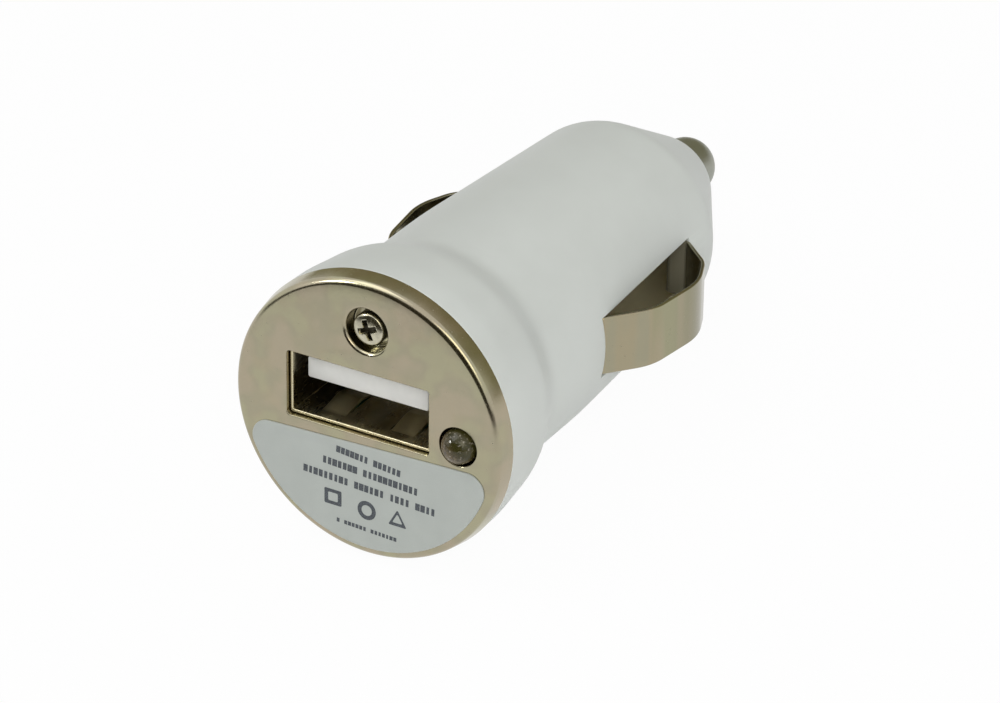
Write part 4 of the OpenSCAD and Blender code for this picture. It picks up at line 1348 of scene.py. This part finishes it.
class PLUG_OT_outlet(bpy.types.Operator):
    """Outlet: a folded metal shell with retention springs, an insulating tongue and four contact strips"""

    bl_idname = "plug.outlet"
    bl_label = "Outlet"

    def execute(self, context):
        size = context.scene.plug_outlet
        self.centre = Vector((SHELL_X, SHELL_HIGH.z - size.sheet - size.inner_h / 2))
        shell = nickel_plating(
            "outlet steel", size.steel, 0.26, brushed=(1, 0.2, 1),
            # holes and lip give painted shade deep in the shell and on its side walls behind the lip
            holes=(0.6 * MM, 1.6 * MM, 20 * MM), opening_shade=0.3, lip=SHELL_LOW.y + 0.1 * MM,
        )
        self.add_shell(size, shell)
        spring = nickel_plating("spring steel", size.steel, 0.34, brushed=(1, 0.2, 1))
        ride(self.springs(size, spring), "plug", "outlet_steel")
        insulator = merged_copy(
            "usb_insulator", "outlet_tongue", tongue_plastic(size.tongue), 0.06 * MM, math.radians(60)
        )
        ride(insulator, "plug", "tongue_plastic", "usb_insulator")
        self.add_contacts(size)
        return {"FINISHED"}

    def add_shell(self, size, finish):
        """The folded shell with a rounded lip, slits round its springs and two legs."""
        front, back = SHELL_LOW.y, SHELL_HIGH.y
        lip, corner, least = 0.12 * MM, 0.3 * MM, 0.08 * MM
        bm = bmesh.new()
        outer_w, outer_h = size.inner_w + 2 * size.sheet, size.inner_h + 2 * size.sheet
        line = rounded(
            [(back, 0, 0), (front, 0, lip), (front, -size.sheet, lip), (back, -size.sheet, 0), (back, 0, 0)],
            step=math.radians(20),
        )
        drawings = [
            (rectangle(self.centre, outer_w + 2 * p.y, outer_h + 2 * p.y, max(corner + p.y, least)), p.x)
            for p in line[:-1]
        ]
        rings = loft(bm, drawings)
        skin_rings(bm, [rings[-1], rings[0]])
        shell = piece_from("outlet_shell", closed_outward(bm), finish, smooth=math.radians(40))
        cutters = []
        grip_middle = size.grip_y + size.grip_len / 2
        for x in (-size.grip_x, size.grip_x):
            for z in (-size.inner_h / 2, size.inner_h / 2):
                half = Vector((size.grip_w / 2 + size.grip_slit, size.grip_len / 2, 2 * size.sheet))
                spot = Vector((self.centre.x + x, grip_middle, self.centre.y + z))
                cutters.append(block("slit", spot - half, spot + half))
        cut(shell, cutters)
        smooth_mesh(shell.data, math.radians(40))
        leg_y, leg_end = 7.45 * MM, 8.85 * MM
        legs = []
        for side in (-1, 1):
            x = self.centre.x + side * (outer_w - size.sheet) / 2
            low = (x - size.sheet / 2, leg_y, SHELL_LOW.z)
            leg = block("leg", low, (x + size.sheet / 2, leg_end, self.centre.y), finish)
            legs.append(bevelled(leg, 0.06 * MM))
        made = joined("outlet_shell_with_legs", [shell, *legs])
        smooth_mesh(made.data, math.radians(40))
        ride(made, "plug", "outlet_steel", "usb_shell")

    def springs(self, size, finish):
        """The four tongues that press on a plug from below and above."""
        bm = bmesh.new()
        start = size.grip_y
        section = rectangle((0, 0), size.grip_w, size.sheet, 0.07 * MM, step=math.radians(22))
        for x in (-size.grip_x, size.grip_x):
            for inward in (1, -1):
                level = self.centre.y - inward * (size.inner_h / 2 + size.sheet / 2)
                line = rounded([
                    (start - 0.3 * MM, level, 0),
                    (start + 0.4 * MM, level, 0.6 * MM),
                    (start + 2.6 * MM, level + inward * size.grip_rise, 0.8 * MM),
                    (start + size.grip_len - 0.5 * MM, level + inward * 0.08 * MM, 0),
                ])
                centre_x = self.centre.x + x
                strip(bm, line, section, lambda p, across: (centre_x + across, p.x, p.y))
        return piece_from("outlet_springs", closed_outward(bm), finish, smooth=math.radians(40))

    def add_contacts(self, size):
        """Four contact strips: one strip copied along a row."""
        low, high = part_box("usb_contact_1")
        gold = nickel_plating("contact gold", size.gold, 0.2, brushed=(1, 0.2, 1))
        width = high.x - low.x
        thick = 0.22 * MM
        lead_z, strip_z, foot_z = 1.48 * MM, 1.43 * MM, -3.29 * MM
        line = rounded([
            (low.y + 0.02 * MM, lead_z, 0), (low.y + 0.6 * MM, strip_z, 0.6 * MM),
            (high.y - thick / 2, strip_z, 0.5 * MM), (high.y - thick / 2, foot_z, 0),
        ])
        bm = bmesh.new()
        section = rectangle((0, 0), width, thick, 0.06 * MM, step=math.radians(22))
        strip(bm, line, section, lambda p, across: (across, p.x, p.y))
        base = bpy.data.meshes.new("contact strip")
        closed_outward(bm).to_mesh(base)
        bm.free()
        spots = [(middle(f"usb_contact_{k}")[0], 0) for k in range(1, 5)]
        made = copied_at(spots, "outlet_contacts", base, gold)
        smooth_mesh(made.data, math.radians(40))
        ride(made, "plug", "contact_brass", *(f"usb_contact_{k}" for k in range(1, 5)))


class PLUG_OT_lamp(bpy.types.Operator):
    """Lamp: a smoky domed body with its lead frame showing inside"""

    bl_idname = "plug.lamp"
    bl_label = "Lamp"

    def execute(self, context):
        size = context.scene.plug_lamp
        dome = [
            (size.radius * (1 - math.cos(turn)) - size.out, size.radius * math.sin(turn), 0)
            for turn in quarter_turn(16)
        ]
        outline = dome + [
            (size.flange_y, size.radius, 0),
            (size.flange_y, size.flange_r, 0.15 * MM),
            (size.back, size.flange_r, 0.1 * MM),
            (size.back, 0, 0),
        ]
        resin = lamp_resin(size.resin)
        lens = turn_outline("lamp_body", outline, resin, segments=96, centre=(LENS_X, LENS_Z))
        ride(lens, "plug", "lamp_clear", "led_lens")
        self.add_lead_frame(size)
        metal = steel("lead wire", (0.62, 0.6, 0.56), 0.3)
        for node in ("led_lead_upper", "led_lead_lower"):
            paint(node, metal)
        return {"FINISHED"}

    def add_lead_frame(self, size):
        """The reflector cup on its post, and the other post beside it."""
        metal = steel("lamp frame", (0.5, 0.47, 0.42), 0.28)
        floor_y, back_y = size.cup_y + 0.35 * MM, size.cup_y + 0.8 * MM
        outline = [
            (floor_y, 0, 0),
            (floor_y, size.cup_r * 0.5, 0),
            (size.cup_y, size.cup_r * 0.85, 0),
            (size.cup_y, size.cup_r, 0.05 * MM),
            (back_y, size.cup_r * 0.8, 0),
            (back_y, 0, 0),
        ]
        cup = turn_outline("lamp_cup", outline, metal, segments=48, centre=(LENS_X, LENS_Z + 0.25 * MM))
        half, end = 0.22 * MM, size.back - 0.2 * MM
        posts = []
        for start, low, high in ((size.cup_y + 0.25 * MM, -0.95, -0.45), (back_y, 0.1, 0.7)):
            near = (LENS_X - half, start, LENS_Z + low * MM)
            post = block("post", near, (LENS_X + half, end, LENS_Z + high * MM), metal)
            posts.append(bevelled(post, 0.05 * MM))
        made = joined("lamp_lead_frame", [cup, *posts])
        smooth_mesh(made.data, math.radians(40))
        ride(made, "plug", "lead_wire")


class PLUG_OT_side_contacts(bpy.types.Operator):
    """Side contacts: two leaves arched out through the slots, with a finger each that wipes the board"""

    bl_idname = "plug.side_contacts"
    bl_label = "Side contacts"

    def execute(self, context):
        size = context.scene.plug_leaf
        arch_x, slack = 13.254 * MM, 0.3 * MM
        if abs(LEAF_OUTSIDE - size.thickness / 2 - arch_x) > slack:
            raise RuntimeError("the leaf's arch no longer fits its CAD solid")
        finish = nickel_plating(
            "leaf nickel", size.nickel, 0.2, brushed=(1, 1, 0.12), size=0.35 * MM, leaf=size
        )
        hook_x, root_y = 8.446 * MM, 20.525 * MM
        foot_x, foot_y = 7.439 * MM, 36.125 * MM
        line = rounded([
            (hook_x, 17.15 * MM, 0),
            (hook_x, root_y, 0.4 * MM),
            (9.7 * MM, root_y, 0.6 * MM),
            (12.545 * MM, 24.025 * MM, 5 * MM),
            (13.415 * MM, 30.325 * MM, 6 * MM),
            (12.095 * MM, 33.625 * MM, 3 * MM),
            (9.296 * MM, foot_y, 0.8 * MM),
            (foot_x, foot_y, 0.4 * MM),
            (foot_x, 38.3 * MM, 0),
        ], step=math.radians(3))
        finger = {
            "across": (hook_x - 4.3 * MM, hook_x),
            "along": (17.65 * MM, 19.45 * MM),
            "upward": (-1.39 * MM, -1.04 * MM),
        }
        section = rectangle((0, 0), size.width, size.thickness, size.edge, step=math.radians(22))
        for side, name, body in ((1, "right", "contact_right"), (-1, "left", "contact_left")):
            bm = bmesh.new()
            strip(bm, line, section, lambda p, across: (side * p.x, p.y, across))
            leaf = piece_from("leaf", closed_outward(bm), finish, smooth=math.radians(50))
            flat_shaded_faces(leaf)
            wiper = side_block("finger", side, **finger, material=finish)
            bevelled(wiper, 0.08 * MM)
            made = joined(f"side_leaf_{name}", [leaf, wiper])
            smooth_mesh(made.data, math.radians(50))
            ride(made, body, "leaf_nickel", f"side_contact_{name}")
        return {"FINISHED"}


class PLUG_OT_centre_contact(bpy.types.Operator):
    """Centre contact: a domed pin, its spring and the spring's cup"""

    bl_idname = "plug.centre_contact"
    bl_label = "Centre contact"

    def execute(self, context):
        size = context.scene.plug_pin
        outline = [
            (size.flange_y - size.stud_len, 0, 0),
            (size.flange_y - size.stud_len, size.stud_r, 0.3 * MM),
            (size.flange_y, size.stud_r, 0.1 * MM),
            (size.flange_y, size.flange_r, 0.15 * MM),
            (size.flange_front, size.flange_r, 0.15 * MM),
            (size.flange_front, size.radius, 0),
            (size.tip, size.radius, size.radius * 0.999),
            (size.tip, 0, 0),
        ]
        finish = nickel_plating("pin nickel", size.nickel, 0.42, brushed=(1, 0.2, 1), size=0.3 * MM)
        pin = turn_outline("centre_pin_turned", outline, finish, segments=128)
        ride(pin, "centre_pin", "pin_nickel", "tip_contact")
        self.add_spring(size)
        paint("spring_cup", nickel_plating("cup brass", (0.62, 0.46, 0.2), 0.28))
        return {"FINISHED"}

    def add_spring(self, size):
        """The pin's spring, wound between its foot and the pin's flange."""
        reach = size.flange_y - SPRING_FOOT
        wire = steel("spring wire", (0.56, 0.56, 0.57), 0.22)
        made = helix_tree().grow(
            "pin_spring", line_mesh([(0, SPRING_FOOT), (0, SPRING_FOOT)]), wire,
            Radius=size.coil_r, Wire=size.wire, Turns=size.turns, Length=reach, Steps=28,
        )
        turn_outward(made)
        smooth_mesh(made.data, math.radians(50))
        ride(made, "plug", "spring_wire", "tip_spring")
        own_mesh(made)


class PLUG_OT_circuit_board(bpy.types.Operator):
    """Circuit board: finishes of the board and its parts, the inductor's turns and the solder joints"""

    bl_idname = "plug.circuit_board"
    bl_label = "Circuit board"

    def execute(self, context):
        size = context.scene.plug_board
        paint("circuit_board", solder_mask(size.mask, size.laminate))
        sleeve = capacitor_skin(size.sleeve)
        black = moulded_black("chip epoxy", (0.02, 0.02, 0.022), 0.5)
        ferrite = moulded_black("ferrite", (0.05, 0.05, 0.055), 0.6)
        tan = moulded_black("chip ceramic", (0.32, 0.21, 0.12), 0.4)
        for node, finish in (
            ("input_capacitor", sleeve), ("output_capacitor", sleeve), ("regulator_chip", black),
            ("rectifier_diode", black), ("sense_resistor", black), ("led_resistor", black),
            ("inductor_core", ferrite), ("ceramic_capacitor", tan),
        ):
            paint(node, finish)
        self.add_winding(size)
        self.add_solder(size)
        return {"FINISHED"}

    def add_winding(self, size):
        """Layers of enamelled wire on the inductor's core, one wound helix for each layer."""
        copper = steel("enamelled copper", (0.5, 0.2, 0.08), 0.25)
        low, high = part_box("inductor_winding")
        x, y, _ = middle("inductor_winding")
        outer, inner = (high.x - low.x) / 2, 1.85 * MM
        height = high.z - low.z
        tree = helix_tree()
        layers = [
            tree.grow(
                "layer", line_mesh([(0, 0), (0, 0)]), copper, Radius=outer - (k + 0.5) * size.wire,
                Wire=size.wire, Turns=int(height / size.wire) - 1, Length=height, Steps=24,
            )
            for k in range(int((outer - inner) / size.wire))
        ]
        made = joined("inductor_turns", layers)
        made.data.transform(Matrix.Translation((x, y, low.z)) @ Matrix.Rotation(math.pi / 2, 4, "X"))
        turn_outward(made)
        smooth_mesh(made.data, math.radians(50))
        ride(made, "plug", "copper_wire", "inductor_winding")

    def add_solder(self, size):
        """A small cone of solder where each lead comes out under the board."""
        bright = steel("solder", (0.62, 0.62, 0.63), 0.2)
        height, top_r, inset = 0.5 * MM, 0.1 * MM, 0.2 * MM
        outline = [
            (0, 0, 0), (0, size.solder_r, 0), (0.22 * MM, size.solder_r * 0.5, 0.3 * MM), (height, top_r, 0),
            (height, 0, 0),
        ]
        cone = turn_outline("joint", outline, bright, segments=20)
        base = cone.data
        base.transform(Matrix.Rotation(-math.pi / 2, 4, "X"))
        bpy.data.objects.remove(cone)
        spots = []
        for node in (*(f"usb_contact_{k}" for k in range(1, 5)), "led_lead_upper", "led_lead_lower"):
            spots.append((middle(node)[0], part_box(node)[1].y - inset, BOARD_UNDER))
        made = copied_at(spots, "solder_joints", base, bright)
        smooth_mesh(made.data, math.radians(50))
        ride(made, "plug", "lead_wire")


# Stage


class PLUG_OT_stage(bpy.types.Operator):
    """Stage: camera, pale floor, even room light and soft lamps"""

    bl_idname = "plug.stage"
    bl_label = "Stage"

    def execute(self, context):
        size = context.scene.plug_stage
        self.add_camera(size)
        self.add_floor(size)
        self.add_room(size)
        self.add_lamps(size)
        self.add_cards()
        context.scene.view_settings.view_transform = "Standard"
        return {"FINISHED"}

    def add_camera(self, size):
        """The camera that was fitted to the photo, set out from a point of the plug's axis."""
        a, e = size.azimuth, size.elevation
        back = Vector((math.sin(a) * math.cos(e), -math.cos(a) * math.cos(e), math.sin(e)))
        level = Vector((math.cos(a), math.sin(a), 0))
        steep = back.cross(level)
        right = level * math.cos(size.roll) + steep * math.sin(size.roll)
        up = steep * math.cos(size.roll) - level * math.sin(size.roll)
        data = bpy.data.cameras.new("camera")
        data.lens = size.lens
        data.sensor_width = 36
        data.clip_start = 0.02
        data.clip_end = 10
        camera = bpy.data.objects.new("camera", data)
        spot = Vector((0, size.aim_y, 0)) + right * size.aside + up * size.above + back * size.distance
        camera.matrix_world = Matrix.Translation(spot) @ Matrix((right, up, back)).transposed().to_4x4()
        bpy.context.scene.collection.objects.link(camera)
        bpy.context.scene.camera = camera

    def add_floor(self, size):
        """A round floor that touches the head's rim and the barrel's shoulder, where the plug rests."""
        sizes = bpy.context.scene.plug_housing
        head = Vector((sizes.head_mid_y, -sizes.head_mid_r))
        shoulder = Vector((sizes.shoulder_y, -sizes.shoulder_r))
        tilt = math.atan2(shoulder.y - head.y, shoulder.x - head.x)
        bm = bmesh.new()
        bmesh.ops.create_circle(bm, cap_ends=True, segments=96, radius=size.floor_r)
        gap = 0.12 * MM
        under = Vector((0, head.x, head.y - gap))
        spot = Matrix.Translation(under) @ Matrix.Rotation(tilt, 4, "X")
        bmesh.ops.transform(bm, matrix=spot, verts=bm.verts)
        floor = piece_from("floor", bm, self.floor_finish())

    def floor_finish(self):
        """White seen straight on or mirrored, pale and shadowed for the light that it sends back."""
        made = Finish("floor", Roughness=0.9, Specular_IOR_Level=0.1)
        made.wear(Base_Color=(0.86, 0.86, 0.86, 1))
        light = made.node("ShaderNodeEmission", {"Color": (1, 1, 1, 1), "Strength": 1.0})
        under = made.node("ShaderNodeNewGeometry", out="Backfacing")
        mixed = made.node(
            "ShaderNodeMixShader", {0: made.seen() * 0.96, 1: Wire(made, made.surface.outputs[0]), 2: light}
        )
        clear = made.node("ShaderNodeBsdfTransparent")
        both = made.node("ShaderNodeMixShader", {0: under, 1: mixed, 2: clear})
        made.tree.links.new(both.socket, made.output.inputs[0])
        return made.material

    def add_room(self, size):
        """White for the camera, for mirrors and through the lamp, and an even grey light on the plug."""
        world = bpy.data.worlds.new("room")
        bpy.context.scene.world = world
        world.use_nodes = True
        graph = Graph(world.node_tree)
        graph.tree.nodes.clear()
        light = graph.node("ShaderNodeBackground", {"Color": (1, 1, 1, 1), "Strength": size.room})
        backdrop = graph.node("ShaderNodeBackground", {"Color": (1, 1, 1, 1), "Strength": 1.0})
        mixed = graph.node("ShaderNodeMixShader", {0: graph.seen(), 1: light, 2: backdrop})
        output = graph.tree.nodes.new("ShaderNodeOutputWorld")
        graph.tree.links.new(mixed.socket, output.inputs[0])

    def add_lamps(self, size):
        """A large key at the upper left, which mirrors see, a weak side lamp and a fill by the camera."""
        for name, spot, watts, width in (
            ("key", (-0.25, -0.2, 0.55), size.key, 0.4),
            ("side", (0.5, 0.15, 0.3), size.key * 0.2, 0.35),
            ("fill", (0.225, -0.36, 0.25), size.fill, 0.25),
        ):
            data = bpy.data.lights.new(name, "AREA")
            data.energy = watts
            data.size = width
            lamp = bpy.data.objects.new(name, data)
            lamp.location = spot
            aim = Vector(spot) - Vector((0, size.aim_y, 0))
            lamp.rotation_mode = "QUATERNION"
            lamp.rotation_quaternion = aim.to_track_quat("Z", "Y")
            lamp.visible_glossy = name == "key"
            bpy.context.scene.collection.objects.link(lamp)

    def add_cards(self):
        """Cards that only mirrors see: dark ones for the metal's edges and bands, white ones for glints.

        A card has its place, its half width and height, its turn (or none, to face the plug) and its colour.
        """
        level, upright = (0, 0, 0), (math.pi / 2, 0, 0)
        for name, spot, half, turn, light_level in (
            ("card_back", (0.15, 0.5, 0.53), (0.8, 0.48), upright, (0.32, 0.29, 0.17)),
            ("card_front", (0, -0.325, -0.0118), (0.5, 0.28), level, (0.04, 0.035, 0.02)),
            ("card_front_edge", (0, -0.6, 0.21), (0.5, 0.23), upright, (0.04, 0.035, 0.02)),
            ("card_left", (-0.22, 0.38, 0.24), (0.07, 0.07), upright, (0.12, 0.12, 0.1)),
            ("glint_lamp", (-0.39, -0.36, 0.257), (0.05, 0.05), None, (36.0, 36.0, 34.0)),
            ("glint_rim", (0.36, -0.29, 0.36), (0.15, 0.2), (math.pi / 2, math.pi / 4, 0), (3.6, 3.4, 2.8)),
        ):
            bm = bmesh.new()
            bmesh.ops.create_grid(bm, size=1)
            facing = Euler(turn) if turn else Vector(spot).to_track_quat("Z", "Y")
            place_card = Matrix.LocRotScale(Vector(spot), facing, Vector((*half, 1)))
            bmesh.ops.transform(bm, matrix=place_card, verts=bm.verts)
            made = Finish(name)
            light = made.node("ShaderNodeEmission", {"Color": (*light_level, 1), "Strength": 1.0})
            made.tree.links.new(light.socket, made.output.inputs[0])
            card = piece_from(name, bm, made.material)
            card.visible_camera = False
            card.visible_diffuse = False
            card.visible_transmission = False
            card.visible_shadow = False
            card.visible_volume_scatter = False


class PLUG_PT_panel(bpy.types.Panel):
    """Lists the plug's pieces"""

    bl_idname = "PLUG_PT_panel"
    bl_label = "Vehicle socket plug"
    bl_space_type = "VIEW_3D"
    bl_region_type = "UI"
    bl_category = "Plug"

    def draw(self, context):
        for operator in OPERATORS:
            self.layout.operator(operator.bl_idname)


GROUPS = {
    "plug_housing": HousingSizes,
    "plug_plate": PlateSizes,
    "plug_label": LabelSizes,
    "plug_screw": ScrewSizes,
    "plug_outlet": OutletSizes,
    "plug_lamp": LampSizes,
    "plug_leaf": LeafSizes,
    "plug_pin": PinSizes,
    "plug_board": BoardSizes,
    "plug_stage": StageSizes,
}
OPERATORS = (
    PLUG_OT_housing,
    PLUG_OT_face_plate,
    PLUG_OT_label,
    PLUG_OT_face_screw,
    PLUG_OT_outlet,
    PLUG_OT_lamp,
    PLUG_OT_side_contacts,
    PLUG_OT_centre_contact,
    PLUG_OT_circuit_board,
    PLUG_OT_stage,
)


def register():
    for name, group in GROUPS.items():
        bpy.utils.register_class(group)
        setattr(bpy.types.Scene, name, PointerProperty(type=group))
    for kind in (*OPERATORS, PLUG_PT_panel):
        bpy.utils.register_class(kind)


def unregister():
    for kind in reversed((*OPERATORS, PLUG_PT_panel)):
        bpy.utils.unregister_class(kind)
    for name, group in reversed(GROUPS.items()):
        delattr(bpy.types.Scene, name)
        bpy.utils.unregister_class(group)


def main():
    register()
    bpy.ops.plug.stage()
    bpy.ops.plug.housing()
    bpy.ops.plug.face_plate()
    bpy.ops.plug.label()
    bpy.ops.plug.face_screw()
    bpy.ops.plug.outlet()
    bpy.ops.plug.lamp()
    bpy.ops.plug.side_contacts()
    bpy.ops.plug.centre_contact()
    bpy.ops.plug.circuit_board()


if __name__ == "__main__":
    main()
